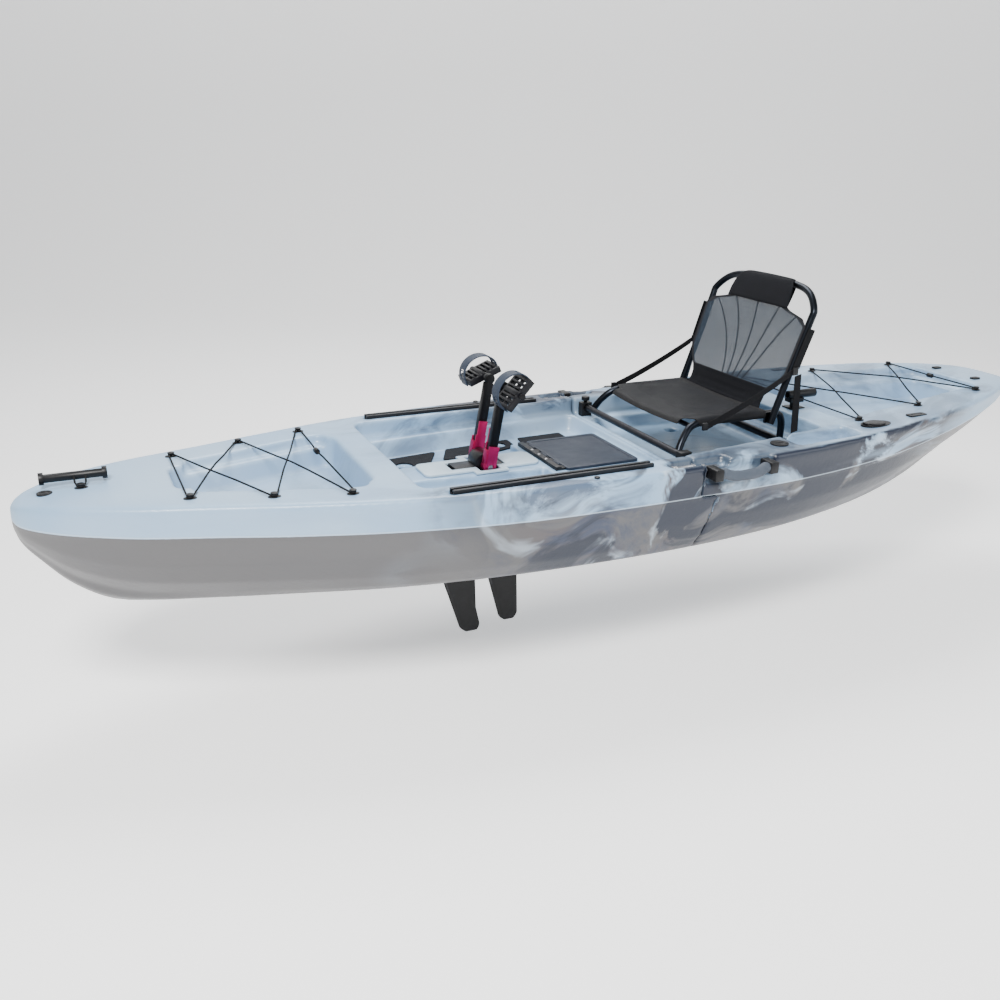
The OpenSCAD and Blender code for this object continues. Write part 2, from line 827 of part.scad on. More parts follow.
// ---- pedal drive ----
pivot_x = -392;
pivot_z = 288 - 56;
axle_dx = crank_reach * sin(9.2);
axle_dz = crank_reach * cos(9.2);
axle_x = pivot_x + axle_dx;
axle_z = pivot_z + axle_dz;
fin_z = -26;
boss_z = pivot_z + 44;
module drive_plate() {
  color([0.7, 0.76, 0.84])
    difference() {
      union() {
        translate([(slot_x0 + slot_x1) / 2, 0, coaming_z + 0.3])
          round_plate(slot_x1 - slot_x0 + 44, 112, 8, 22);
        translate([pivot_x - 52, -82, coaming_z + 0.3])
          cube([104, 164, 8]);
      }
      translate([-500, -31, coaming_z - 5])
        cube([170, 62, 30]);
      translate([pivot_x - 32, -69, coaming_z - 5])
        cube([64, 138, 30]);
    }
}
module drive_spine() {
  color([0.06, 0.06, 0.07])
    difference() {
      union() {
        // lower housing in the slot
        translate([-558, -36, -8])
          cube([304, 72, 60]);
        // web between housing and head
        translate([-498, -24, 50])
          cube([166, 48, 170]);
        // head that carries the crank shaft
        translate([-488, -30.6, 200])
          cube([150, 61.2, 52]);
        y_rod(pivot_x, boss_z - 20, -30.6, 30.6, 34);
        // three hangers for the fin shaft
        for (x = [-556, -406, -262]) {
          translate([x, -12, fin_z - 10])
            cube([8, 24, 30]);
        }
        x_rod(-556, -254, 0, fin_z, 5);
      }
      y_rod(pivot_x, pivot_z + 24, -40, 40, 8.02);
      // lightening row along the head
      for (k = [0:4]) {
        y_rod(-476 + 11 * k, 244 - 3 * abs(k - 2), -40, 40, 2.2);
      }
    }
}
module drive_gears() {
  color([0.1, 0.1, 0.11])
    both_sides() {
      difference() {
        translate([-474, -34, 204])
          cube([66, 3, 36]);
        for (k = [0:2]) {
          y_rod(-462 + 20 * k, 222, -40, -20, 3);
        }
      }
    }
}
shaft_z = pivot_z + 24;
module crank_shaft() {
  color([0.7, 0.7, 0.72])
    y_rod(pivot_x, shaft_z, -62, 62, 8);
}
// frame along a crank: origin on the shaft, +Z towards the pedal axle
crank_tilt = atan2(axle_x - pivot_x, axle_z - shaft_z);
crank_len = norm([axle_x - pivot_x, axle_z - shaft_z]);
module on_crank(s) {
  translate([pivot_x, 0, shaft_z])
    rotate([0, crank_tilt, 0])
      mirror([0, s > 0 ? 1 : 0, 0])
        children();
}
module crank_arm(s) {
  color([0.07, 0.07, 0.08])
    on_crank(s) {
      // rectangular tube from bracket to axle boss
      translate([-tube_w / 2 - 3, -60, 24])
        cube([tube_w + 6, 19.4, crank_len - 36]);
      translate([0, -40.6, crank_len])
        rotate([90, 0, 0])
          cylinder(r = 15, h = 19.4);
      translate([0, -58, crank_len])
        rotate([90, 0, 0])
          cylinder(r = 6, h = 118);
      translate([0, -176, crank_len])
        rotate([90, 0, 0])
          cylinder(r = 9, h = 4);
    }
}
module crank_port() {
  crank_arm(-1);
}
module crank_starboard() {
  crank_arm(1);
}
module crank_bracket(s) {
  color([0.72, 0.13, 0.33])
    on_crank(s)
      difference() {
        union() {
          rotate([90, 0, 0])
            translate([0, 0, 34.6])
              cylinder(r = 19, h = 27);
          translate([-16, -40.3, 0])
            cube([32, 5.7, 70]);
          translate([-13, -40.3, 60])
            cube([26, 5.7, 52]);
          translate([-16, -66, 0])
            cube([32, 5.7, 62]);
          translate([-20, -61, 10])
            cube([6.7, 22, 40]);
        }
        rotate([90, 0, 0])
          translate([0, 0, 30])
            cylinder(r = 8.06, h = 50);
      }
}
module crank_bracket_port() {
  crank_bracket(-1);
}
module crank_bracket_starboard() {
  crank_bracket(1);
}
port_pitch = 48;
starboard_pitch = 22;
pedal_y = 122;
module on_pedal(s, pitch) {
  translate([axle_x, s * pedal_y, axle_z])
    rotate([0, -pitch, 0])
      children();
}
module pedal(s, pitch) {
  color([0.08, 0.08, 0.09])
    on_pedal(s, pitch)
      difference() {
        union() {
          // side rails, end bars and the bearing barrel
          for (y = [-pedal_w / 2, pedal_w / 2 - 10]) {
            translate([-pedal_l / 2, y, -9])
              cube([pedal_l, 10, 18]);
          }
          for (x = [-pedal_l / 2, pedal_l / 2 - 10]) {
            translate([x, -pedal_w / 2, -9])
              cube([10, pedal_w, 18]);
          }
          rotate([90, 0, 0])
            cylinder(r = 11, h = pedal_w, center = true);
          // grip bars across the plate
          for (k = [-2, -1, 1, 2]) {
            translate([k * 15 - 3, -pedal_w / 2 + 4, -6])
              cube([6, pedal_w - 8, 16]);
          }
          translate([-pedal_l / 2 + 4, -3, -6])
            cube([pedal_l - 8, 6, 12]);
        }
        rotate([90, 0, 0])
          cylinder(r = 6.06, h = pedal_w + 20, center = true);
      }
}
module pedal_port() {
  pedal(-1, port_pitch);
}
module pedal_starboard() {
  pedal(1, starboard_pitch);
}
strap_rise = 54;
module pedal_strap(s, pitch) {
  color([0.25, 0.3, 0.38])
    on_pedal(s, pitch)
      translate([0, 20, 0])
        rotate([90, 0, 0])
          linear_extrude(height = 40)
            difference() {
              union() {
                translate([0, 8])
                  scale([1, (strap_rise - 8 + 4) / (pedal_l / 2 + 4.4)])
                    circle(r = pedal_l / 2 + 4.4);
                translate([-pedal_l / 2 - 4.4, -14])
                  square([pedal_l + 8.8, 22]);
              }
              translate([0, 8])
                scale([1, (strap_rise - 8) / (pedal_l / 2 + 0.4)])
                  circle(r = pedal_l / 2 + 0.4);
              translate([-pedal_l / 2 - 0.4, -90])
                square([pedal_l + 0.8, 98.2]);
              translate([-pedal_l, -110])
                square([2 * pedal_l, 96]);
            }
}
module pedal_strap_port() {
  pedal_strap(-1, port_pitch);
}
module pedal_strap_starboard() {
  pedal_strap(1, starboard_pitch);
}

// fin blades: side outline swept to a constant thickness, sleeve at the leading edge
module fin_blade(x0, w0, reach, rake, w1) {
  top = fin_z - 19;
  tip = fin_z - reach + 22;
  a = [x0, 0, top];
  b = [x0 + rake, 0, tip - 12];
  color([0.05, 0.05, 0.06])
    difference() {
      union() {
        translate([0, 3.5, 0])
          rotate([90, 0, 0])
            linear_extrude(height = 7)
              polygon([[x0, top], [x0 + w0, top], [x0 + w0 + 6, tip + 80],
                       [x0 + rake + w1, tip + 28], [x0 + rake + w1 - 10, tip + 8],
                       [x0 + rake, tip - 12]]);
        rod(a, b, fin_thick / 2);
      }
      rod(a - 0.02 * (b - a), a + 0.45 * (b - a), 4.06);
    }
}
module fin_front() {
  fin_blade(-534, 120, fin_reach, 84, 60);
}
module fin_rear() {
  fin_blade(-384, 112, fin_reach - 16, 66, 54);
}
module fin_mast(x0, x1, lx, reach, rake) {
  top = fin_z - 19;
  tip = fin_z - reach + 22;
  a = [lx, 0, top];
  b = [lx + rake, 0, tip - 12];
  color([0.12, 0.12, 0.13])
    difference() {
      union() {
        x_rod(x0, x1, 0, fin_z, 15);
        rod(a - 0.07 * (b - a), a + 0.42 * (b - a), 4);
      }
      x_rod(x0 - 5, x1 + 5, 0, fin_z, 5.05);
    }
}
module fin_mast_front() {
  fin_mast(-547.5, -406.5, -534, fin_reach, 84);
}
module fin_mast_rear() {
  fin_mast(-397.5, -262.5, -384, fin_reach - 16, 66);
}

// ---- seat ----
half = seat_width / 2;
bar_x = 118;
bar_z = 298;
rear_bar_x = 528;
rear_bar_z = ledge_z + seat_tube_r + 1.2;
side_run = [
  [bar_x + 8, -half - 34, bar_z],
  [bar_x + 30, -half - 22, bar_z + 36],
  [bar_x + 66, -half - 8, bar_z + 66],
  [bar_x + 120, -half - 2, bar_z + 73],
  [400, -half, bar_z + 75],
  [496, -half, bar_z + 73],
  [rear_bar_x - 3, -half, bar_z + 50],
  [rear_bar_x, -half, rear_bar_z]
];
module seat_frame() {
  color([0.18, 0.19, 0.21]) {
    for (s = [-1, 1]) {
      sweep_tube(smooth([for (p = side_run) [p[0], -s * p[1], p[2]]]), seat_tube_r, 12, [0, 1, 0]);
    }
    y_rod(rear_bar_x, rear_bar_z, -268, 268, seat_tube_r + 0.8);
    y_rod(bar_x + 74, bar_z + 62, -half - 4, half + 4, seat_tube_r - 3);
    // pivot ears for the back
    both_sides()
      translate([452, -half - 13.6, bar_z + 50])
        cube([24, 9, 34]);
  }
}
module seat_crossbar() {
  color([0.22, 0.22, 0.24])
    y_rod(bar_x, bar_z, -286, 286, seat_tube_r);
}
module seat_clamps() {
  color([0.05, 0.05, 0.06])
    both_sides()
      difference() {
        translate([bar_x - 19, -308, ledge_z + 0.3])
          cube([38, 26, 46]);
        y_rod(bar_x, bar_z, -286, -270, seat_tube_r + 0.05);
      }
}
module seat_knob() {
  color([0.05, 0.05, 0.06])
    translate([bar_x, 295, ledge_z + 46.6]) {
      cylinder(r = 6, h = 8);
      translate([0, 0, 7])
        cylinder(r = 14, h = 12);
    }
}
// frame of the seat back: +Z runs up the back, origin on its pivot line
back_x = 464;
back_z = 352;
module on_back() {
  translate([back_x, 0, back_z])
    rotate([0, back_lean, 0])
      children();
}
back_run = [
  [0, -half - 25, -4],
  [0, -half - 24, 220],
  [0, -half - 27, back_height - 96],
  [0, -half - 23, back_height - 62],
  [4, -half + 22, back_height - 20],
  [8, -128, back_height - 2],
  [8, 0, back_height]
];
module seat_back_frame() {
  color([0.14, 0.15, 0.17])
    on_back()
      sweep_tube(smooth(concat(back_run, [for (i = [len(back_run) - 2:-1:0])
                                           [back_run[i][0], -back_run[i][1], back_run[i][2]]])),
                 seat_tube_r, 12, [1, 0, 0]);
}
module panel(pts, top, thick) {
  n = len(pts);
  translate([-seat_tube_r - 0.5, 0, 0])
    rotate([90, 0, -90])
      linear_extrude(height = thick)
        polygon(concat(pts, [[0, top]], [for (i = [n - 1:-1:0]) [-pts[i][0], pts[i][1]]]));
}
module seat_back_mesh() {
  color([0.3, 0.36, 0.42])
    on_back()
      panel([[186, 56], [214, 96], [half + 18, 150], [half + 26, 300],
             [half + 2, 322], [158, 336], [132, 352]], 338, 4);
}
module seat_headrest() {
  color([0.06, 0.06, 0.07])
    on_back()
      panel([[0.5, 338.35], [131, 352.3], [120, 380], [112, back_height + 8]],
            back_height + 14, 12);
}
module seat_lumbar() {
  color([0.06, 0.06, 0.07])
    on_back()
      panel([[176, 42], [184, 55]], 55, 6);
}
// sling of the seat base: a shallow dished sheet lying on the side tubes
sling_x0 = 166;
sling_x1 = 500;
sling_nx = 9;
sling_ny = 12;
sling_top = bar_z + 75.6 + seat_tube_r + 4.4;
function sling_p(i, j, dz) =
  let (u = i / sling_nx, v = 2 * j / sling_ny - 1, w = half + 11 - (i == 0 ? 34 : 0),
       x = sling_x0 + (sling_x1 - sling_x0) * u)
  [x, v * w, sling_top - 16 * max(0, 1 - 1.35 * v * v) - dz];
module seat_base_fabric() {
  color([0.08, 0.08, 0.09]) {
    row = sling_ny + 1;
    lower = (sling_nx + 1) * row;
    pts = [for (d = [0, 4]) for (i = [0:sling_nx]) for (j = [0:sling_ny]) sling_p(i, j, d)];
    up = [for (i = [0:sling_nx - 1]) for (j = [0:sling_ny - 1]) for (h = [0, 1])
      let (a = i * row + j) h == 0 ? [a, a + 1, a + row + 1] : [a, a + row + 1, a + row]];
    down = [for (f = up) [f[2] + lower, f[1] + lower, f[0] + lower]];
    left = [for (i = [0:sling_nx - 1]) for (h = [0, 1])
      let (a = i * row) h == 0 ? [a, a + row, a + row + lower] : [a, a + row + lower, a + lower]];
    right = [for (f = left) [f[2] + row - 1, f[1] + row - 1, f[0] + row - 1]];
    fore = [for (j = [0:sling_ny - 1]) for (h = [0, 1])
      h == 0 ? [j, j + lower, j + 1 + lower] : [j, j + 1 + lower, j + 1]];
    k = sling_nx * row;
    aft = [for (f = fore) [f[2] + k, f[1] + k, f[0] + k]];
    polyhedron(points = pts, faces = [for (f = concat(up, down, left, right, fore, aft)) [f[2], f[1], f[0]]],
               convexity = 6);
  }
}
// flat webbing between two points, width along the given side vector
module webbing(a, b, side, t) {
  n = unit(cross(b - a, side)) * t / 2;
  polyhedron(points = [a - side + n, a + side + n, b + side + n, b - side + n,
                       a - side - n, a + side - n, b + side - n, b - side - n],
             faces = [[3, 2, 1, 0], [4, 5, 6, 7], [0, 1, 5, 4], [1, 2, 6, 5],
                      [2, 3, 7, 6], [3, 0, 4, 7]]);
}
web_out = half + 42;
buckle_u = 168;
strap_hi = [back_x + buckle_u * sin(back_lean), -web_out, back_z + buckle_u * cos(back_lean)];
strap_top = [back_x + 300 * sin(back_lean), -web_out - 5, back_z + 300 * cos(back_lean)];
module seat_straps() {
  color([0.05, 0.05, 0.05])
    both_sides() {
      webbing([bar_x + 98, -web_out - 2, bar_z + 74], strap_hi - [10, 0, 4], [4, 0, 12], 2);
      webbing(strap_hi + [4, -1, 10], strap_top, [12, 0, -4], 2);
      webbing(strap_hi + [12, -4, -12], [512, -300, deck_at(512) + 2.3], [12, 0, 3], 2);
    }
}
module seat_buckles() {
  color([0.1, 0.1, 0.1])
    both_sides() {
      translate(strap_hi + [-9, -5, -12])
        cube([20, 4, 24]);
      translate([bar_x + 80, -web_out - 6, bar_z + 62])
        cube([18, 8, 22]);
    }
}

// ---- stern deck fittings ----
module flush_caps() {
  color([0.05, 0.05, 0.06])
    both_sides()
      translate([cap_x, -cap_y, deck_at(cap_x) - seat_dip + 0.3]) {
        difference() {
          cylinder(r = cap_r, h = 5);
          translate([-16, -2, 3.4])
            cube([32, 4, 5]);
        }
        translate([0, 0, -14])
          cylinder(r = cap_r - 6.4, h = 15);
      }
}
module holder_flange(m) {
  color([0.05, 0.05, 0.06])
    difference() {
      union() {
        holder_frame(m)
          translate([0, 0, -holder_depth])
            cylinder(r = holder_r + 3, h = holder_depth + 26);
        holder_frame(m)
          translate([0, 0, mouth_at - 4])
            cylinder(r = holder_r + mouth_rise + mouth_wall, h = 44);
        mirror([0, m, 0])
          translate([holder_x, -holder_y, deck_at(holder_x) - seat_dip + 0.3])
            linear_extrude(height = 5)
              scale([1.9, 1])
                circle(r = 29);
      }
      holder_frame(m)
        translate([0, 0, -holder_depth + 6])
          cylinder(r = holder_r, h = holder_depth + 60);
      holder_frame(m)
        translate([0, 0, mouth_at])
          cylinder(r = holder_r + mouth_rise, h = 90);
      mirror([0, m, 0])
        translate([holder_x - 90, -holder_y - 60, deck_at(holder_x) - seat_dip + 5.3])
          cube([180, 120, 60]);
    }
}
module holder_flange_port() {
  holder_flange(0);
}
module holder_flange_starboard() {
  holder_flange(1);
}
cap_hinge_dx = -44;
cap_hinge_r = 3;
module holder_cap(m) {
  color([0.05, 0.05, 0.06])
    mirror([0, m, 0])
      translate([holder_x, -holder_y, deck_at(holder_x) - seat_dip + 5.6]) {
        linear_extrude(height = 3)
          scale([1.3, 1])
            circle(r = 25);
        translate([cap_hinge_dx, -9, 0])
          cube([16, 18, 3]);
        // hinge barrel at the front edge of the tab
        y_rod(cap_hinge_dx, cap_hinge_r, -9, 9, cap_hinge_r);
      }
}
module holder_cap_port() {
  holder_cap(0);
}
module holder_cap_starboard() {
  holder_cap(1);
}
bracket_x = 690;
module rod_bracket() {
  color([0.05, 0.05, 0.06])
    translate([bracket_x, -82, deck_at(bracket_x) - seat_dip + 0.3]) {
      translate([-28, -24, 0])
        cube([56, 48, 5]);
      cylinder(r = 13, h = 26);
      translate([-26, -16, 22])
        cube([52, 32, 14]);
      difference() {
        translate([-30, 0, 46])
          rotate([0, 90, 0])
            cylinder(r = 14, h = 110);
        translate([-40, 0, 46])
          rotate([0, 90, 0])
            cylinder(r = 9, h = 140);
      }
    }
}
module accessory_plates() {
  color([0.05, 0.05, 0.06]) {
    both_sides() {
      difference() {
        translate([plate_x, -plate_y, deck_at(plate_x) - seat_dip + 0.3])
          round_plate(72, 28, 4, 8);
        for (x = plate_holes) {
          translate([x, -plate_y, 300])
            cylinder(r = 2.6, h = 100);
        }
      }
    }
    both_sides()
      translate([1502, -88, deck_at(1502) + 0.4])
        round_plate(34, 22, 5, 6);
  }
}

hull_front();
hull_rear();
drain_plug();
bow_handle();
bow_handle_cord();
pad_eyes();
lacing_front();
lacing_rear();
cord_lock();
track_port();
track_starboard();
floor_pad_fore();
floor_pad_mid();
floor_pad_aft();
gunwale_plugs();
latch_bases();
latch_lever_port();
latch_lever_starboard();
latch_keepers();
handle_port();
handle_starboard();
handle_caps();
hatch_lid();
hatch_hinge_bar();
hatch_studs();
drive_plate();
drive_spine();
drive_gears();
crank_shaft();
crank_port();
crank_starboard();
crank_bracket_port();
crank_bracket_starboard();
pedal_port();
pedal_starboard();
pedal_strap_port();
pedal_strap_starboard();
fin_front();
fin_rear();
fin_mast_front();
fin_mast_rear();
seat_frame();
seat_crossbar();
seat_clamps();
seat_knob();
seat_back_frame();
seat_base_fabric();
seat_back_mesh();
seat_headrest();
seat_lumbar();
seat_straps();
seat_buckles();
flush_caps();
holder_flange_port();
holder_flange_starboard();
holder_cap_port();
holder_cap_starboard();
rod_bracket();
accessory_plates();
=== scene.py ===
import json
import math

import bmesh
import bpy
import numpy as np
from mathutils import Matrix, Vector


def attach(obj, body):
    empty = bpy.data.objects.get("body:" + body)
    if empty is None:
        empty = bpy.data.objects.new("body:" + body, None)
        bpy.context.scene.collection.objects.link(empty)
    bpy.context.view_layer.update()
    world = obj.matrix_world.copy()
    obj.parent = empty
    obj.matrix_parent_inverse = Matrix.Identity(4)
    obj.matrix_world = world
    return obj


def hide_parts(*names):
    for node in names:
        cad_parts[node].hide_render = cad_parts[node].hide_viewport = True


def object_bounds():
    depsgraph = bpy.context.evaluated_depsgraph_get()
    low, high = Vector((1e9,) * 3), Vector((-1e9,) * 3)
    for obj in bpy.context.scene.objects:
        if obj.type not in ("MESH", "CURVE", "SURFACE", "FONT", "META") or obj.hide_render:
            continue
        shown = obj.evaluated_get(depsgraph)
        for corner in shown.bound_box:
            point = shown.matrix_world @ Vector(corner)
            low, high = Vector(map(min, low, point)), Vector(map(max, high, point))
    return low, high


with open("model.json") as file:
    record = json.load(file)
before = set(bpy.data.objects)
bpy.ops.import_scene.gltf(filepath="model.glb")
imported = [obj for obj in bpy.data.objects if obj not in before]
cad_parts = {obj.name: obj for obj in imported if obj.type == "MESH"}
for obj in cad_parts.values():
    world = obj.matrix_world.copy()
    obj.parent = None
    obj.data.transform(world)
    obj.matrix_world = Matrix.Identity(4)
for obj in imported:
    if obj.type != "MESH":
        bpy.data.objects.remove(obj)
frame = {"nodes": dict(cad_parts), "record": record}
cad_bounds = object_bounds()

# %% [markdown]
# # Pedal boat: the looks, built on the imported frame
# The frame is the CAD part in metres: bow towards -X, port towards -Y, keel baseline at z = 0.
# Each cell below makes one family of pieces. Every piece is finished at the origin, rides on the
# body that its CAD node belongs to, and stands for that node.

scene = bpy.context.scene
record = frame["record"]
BODY = {n: b for b, nodes in record["behaviour"]["bodies"].items() for n in nodes}
SLOT = {s["node"]: s["material_slot"] for s in record["subparts"]}
MM = 0.001

# %% [markdown]
# ## Shader maths
# `Sock` wraps one output socket so that + - * / add Math nodes. `Shade.node` adds any other node.

# %%
class Sock:
    """One output socket of a material's tree, with arithmetic."""

    def __init__(self, shade, out):
        self.shade, self.out = shade, out

    def math(self, operation, other=0.0):
        return self.shade.node("ShaderNodeMath", {0: self, 1: other}, operation=operation)

    def __add__(self, other):
        return self.math("ADD", other)

    def __sub__(self, other):
        return self.math("SUBTRACT", other)

    def __mul__(self, other):
        return self.math("MULTIPLY", other)

    def __truediv__(self, other):
        return self.math("DIVIDE", other)

    def step(self, low, high):
        """0 below low, 1 above high, smooth between."""
        return self.shade.node("ShaderNodeMapRange",
                               {"Value": self, "From Min": low, "From Max": high},
                               interpolation_type="SMOOTHSTEP")

    def flip(self):
        """One minus the value."""
        return self.math("MULTIPLY", -1.0).math("ADD", 1.0)


class Shade:
    """A Principled material being wired."""

    def __init__(self, name):
        self.mat = bpy.data.materials.new(name)
        self.mat.use_nodes = True
        self.tree = self.mat.node_tree
        self.bsdf = self.tree.nodes["Principled BSDF"]
        self.at = self.node("ShaderNodeTexCoord", output="Object")

    def node(self, kind, inputs=None, output=0, **settings):
        """Adds a node, sets it up, feeds its inputs and gives back one of its outputs."""
        made = self.tree.nodes.new(kind)
        for key, value in settings.items():
            setattr(made, key, value)
        for key, value in (inputs or {}).items():
            self.feed(made.inputs[key], value)
        return Sock(self, made.outputs[output])

    def feed(self, socket, value):
        if isinstance(value, Sock):
            self.tree.links.new(value.out, socket)
        else:
            socket.default_value = value

    def vector(self, operation, a, b=(0, 0, 0)):
        return self.node("ShaderNodeVectorMath", {0: a, 1: b}, operation=operation)

    def axis(self, vector, name):
        return self.node("ShaderNodeSeparateXYZ", {"Vector": vector}, output=name)

    def noise(self, at, scale, detail=3.0, rough=0.5, distort=0.0, output=0):
        return self.node("ShaderNodeTexNoise",
                         {"Vector": at, "Scale": scale, "Detail": detail, "Roughness": rough,
                          "Distortion": distort}, output=output)

    def wave(self, at, axis, pitch):
        """Ripple from -1 to 1 along one axis of the position, one period every pitch metres."""
        return (self.axis(at, axis) * (2 * math.pi / pitch)).math("SINE")

    def mix(self, factor, a, b):
        return self.node("ShaderNodeMix", {0: factor, 6: a, 7: b}, output=2, data_type="RGBA")

    def attribute(self, name):
        return self.node("ShaderNodeAttribute", attribute_name=name, output="Fac")

    def finish(self, color, rough, height=None, depth=0.0004, metallic=0.0, alpha=None,
               coat=0.0, shine=0.5):
        """Feeds the Principled shader; a height goes through a Bump node, depth metres deep."""
        self.feed(self.bsdf.inputs["Specular IOR Level"], shine)
        self.feed(self.bsdf.inputs["Base Color"], color)
        self.feed(self.bsdf.inputs["Roughness"], rough)
        self.feed(self.bsdf.inputs["Metallic"], metallic)
        self.feed(self.bsdf.inputs["Coat Weight"], coat)
        if alpha is not None:
            self.feed(self.bsdf.inputs["Alpha"], alpha)
        if height is not None:
            bump = self.node("ShaderNodeBump",
                             {"Strength": 1.0, "Distance": depth, "Height": height})
            self.feed(self.bsdf.inputs["Normal"], bump)
        return self.mat


def rgb(r, g, b):
    return (r, g, b, 1.0)

# %% [markdown]
# ## Hull plastic
# Rotomoulded polyethylene: pale blue above the moulding seam, warm grey below it, and powder
# colours swirled through the middle of the boat. Swirls are noise looked up at places pushed about
# by a slower noise. The seam line comes from an attribute stored on the mesh.

# %%
PALE = rgb(0.25, 0.40, 0.58)
TAUPE = rgb(0.092, 0.090, 0.093)
NAVY = rgb(0.006, 0.011, 0.026)
SMOKE = rgb(0.016, 0.032, 0.075)
WHITE = rgb(0.50, 0.60, 0.70)
STONE = rgb(0.075, 0.066, 0.070)
SEAM_BLEND = 0.0008
LINE_DROP, LINE_CORE, LINE_EDGE = 0.0022, 0.0012, 0.0026


def hull_plastic(name):
    """Place along the boat and distance from its middle choose where each swirl may show."""
    m = Shade(name)
    below = m.attribute("seam").step(-SEAM_BLEND, SEAM_BLEND)
    inner = m.attribute("inner")
    x = m.axis(m.at, "X")
    y = m.axis(m.at, "Y").math("ABSOLUTE")
    slow = m.vector("SUBTRACT", m.noise(m.at, 1.7, 2.0, output="Color"), (0.5, 0.5, 0.5))
    pushed = m.vector("ADD", m.vector("MULTIPLY", m.at, (0.62, 1.0, 1.0)),
                      m.vector("MULTIPLY", slow, (0.75, 0.6, 0.55)))
    swirl = m.noise(pushed, 3.6, 5.0, 0.55, 1.1)
    pale_swirl = m.noise(m.vector("ADD", pushed, (4.1, 2.3, 0.7)), 3.0, 4.0, 0.55, 1.4)
    stone_swirl = m.noise(m.vector("ADD", pushed, (1.3, 7.7, 3.1)), 4.0, 4.0, 0.6, 0.9)
    wobble = m.noise(m.at, 2.4, 2.0) - 0.5
    place = x + wobble * 0.7
    zone = place.step(-0.78, -0.3) * place.step(0.95, 1.4).flip()
    edge = y.step(0.27, 0.38) * place.step(-0.8, -0.35) * place.step(0.3, 0.75).flip()
    haze = m.noise(m.vector("ADD", pushed, (9.0, 3.0, 2.0)), 5.0, 6.0, 0.65, 0.6)
    ink = swirl.step(0.44, 0.52) * (zone * inner.flip() + inner * edge * 0.85)
    smudge = haze.step(0.44, 0.70) * (
        edge * 0.95 + inner * 0.45 * place.step(-1.0, -0.5) + 0.05)
    milk = pale_swirl.step(0.49, 0.60) * zone * inner.flip()
    stone = stone_swirl.step(0.50, 0.60) * zone * inner.flip()
    bleached = m.mix(m.noise(m.at, 2.1, 2.0).step(0.35, 0.7) * 0.35, PALE, WHITE)
    ground = m.mix(below, bleached, TAUPE)
    color = m.mix(stone, ground, STONE)
    color = m.mix(milk * 0.85, color, WHITE)
    color = m.mix(smudge.math("MINIMUM", 0.8), color, SMOKE)
    color = m.mix(ink, color, NAVY)
    line = m.attribute("seam").math("ADD", LINE_DROP).math("ABSOLUTE")
    line = line.step(LINE_CORE, LINE_EDGE).flip()
    color = m.mix(line * 0.55, color, WHITE)
    grain = m.noise(m.at, 900.0, 2.0)
    orange_peel = m.noise(m.at, 70.0, 3.0)
    scuff = m.noise(m.vector("MULTIPLY", m.at, (3.0, 30.0, 30.0)), 6.0, 4.0).step(0.58, 0.8)
    rough = m.noise(m.at, 9.0, 3.0) * 0.16 + 0.29 + scuff * 0.12
    return m.finish(color, rough, orange_peel * 0.8 + grain * 0.2, 0.0007, coat=0.08)


# %% [markdown]
# ## Other finishes
# One function for each family: moulded plastic, metal, woven cloth, foam, cord.

# %%
MESH_PITCH, DOT_PITCH, RIB_PITCH = 0.0052, 0.006, 0.0028
def plastic(name, color, rough, grain=500.0, depth=0.00025, worn=0.06, shine=0.3):
    """Moulded plastic: fine grain, cloudy roughness and slightly paler rubbed areas."""
    m = Shade(name)
    rub = m.noise(m.at, 14.0, 4.0, 0.6).step(0.5, 0.8)
    paler = rgb(*[min(1.0, c + worn * 0.5 + 0.15 * c) for c in color])
    tint = m.mix(rub * 0.7, rgb(*color), paler)
    texture = m.noise(m.at, grain, 3.0, 0.6)
    cloudy = m.noise(m.at, 30.0, 3.0) * 0.2 + (rough - 0.1)
    return m.finish(tint, cloudy, texture, depth, shine=shine)


def metal(name, color, rough, stretch=(8.0, 260.0, 260.0), metallic=1.0):
    """Drawn or brushed metal: streaks along the long axis vary roughness and colour."""
    m = Shade(name)
    streak = m.noise(m.vector("MULTIPLY", m.at, stretch), 4.0, 3.0, 0.6)
    tint = m.mix(streak * 0.6, rgb(*color), rgb(*[c * 0.7 for c in color]))
    return m.finish(tint, streak * 0.22 + (rough - 0.1), streak, 0.0001, metallic)


def cloth(name, color, pitch, axes, depth=0.0005, crown_sheen=0.25):
    """Woven cloth: two crossed ripples make the threads, a painted sheen lightens their raised
    crossings, and a slow noise fades the dye.
    """
    m = Shade(name)
    weave = m.wave(m.at, axes[0], pitch) * m.wave(m.at, axes[1], pitch)
    dye = m.noise(m.at, 22.0, 4.0, 0.6)
    # The paler colour serves both the faded dye and a painted sheen on the raised thread crossings.
    faded_and_sheen = rgb(*[c * 1.9 + 0.006 for c in color])
    tint = m.mix(weave.step(-0.2, 0.9) * crown_sheen + dye.step(0.4, 0.75) * 0.3, rgb(*color), faded_and_sheen)
    height = weave + m.noise(m.at, 300.0, 2.0) * 0.6
    return m.finish(tint, dye * 0.15 + 0.7, height, depth, shine=0.12)


def foam(name):
    """Brushed closed-cell foam: fine streaks across the grain over a pebbled surface."""
    m = Shade(name)
    streak = m.noise(m.vector("MULTIPLY", m.at, (40.0, 700.0, 200.0)), 1.0, 4.0, 0.7)
    tint = m.mix(streak.step(0.35, 0.7), rgb(0.006, 0.0065, 0.008), rgb(0.020, 0.021, 0.025))
    height = streak + m.noise(m.at, 500.0, 2.0) * 0.4
    return m.finish(tint, streak * 0.1 + 0.8, height, 0.0005, shine=0.15)


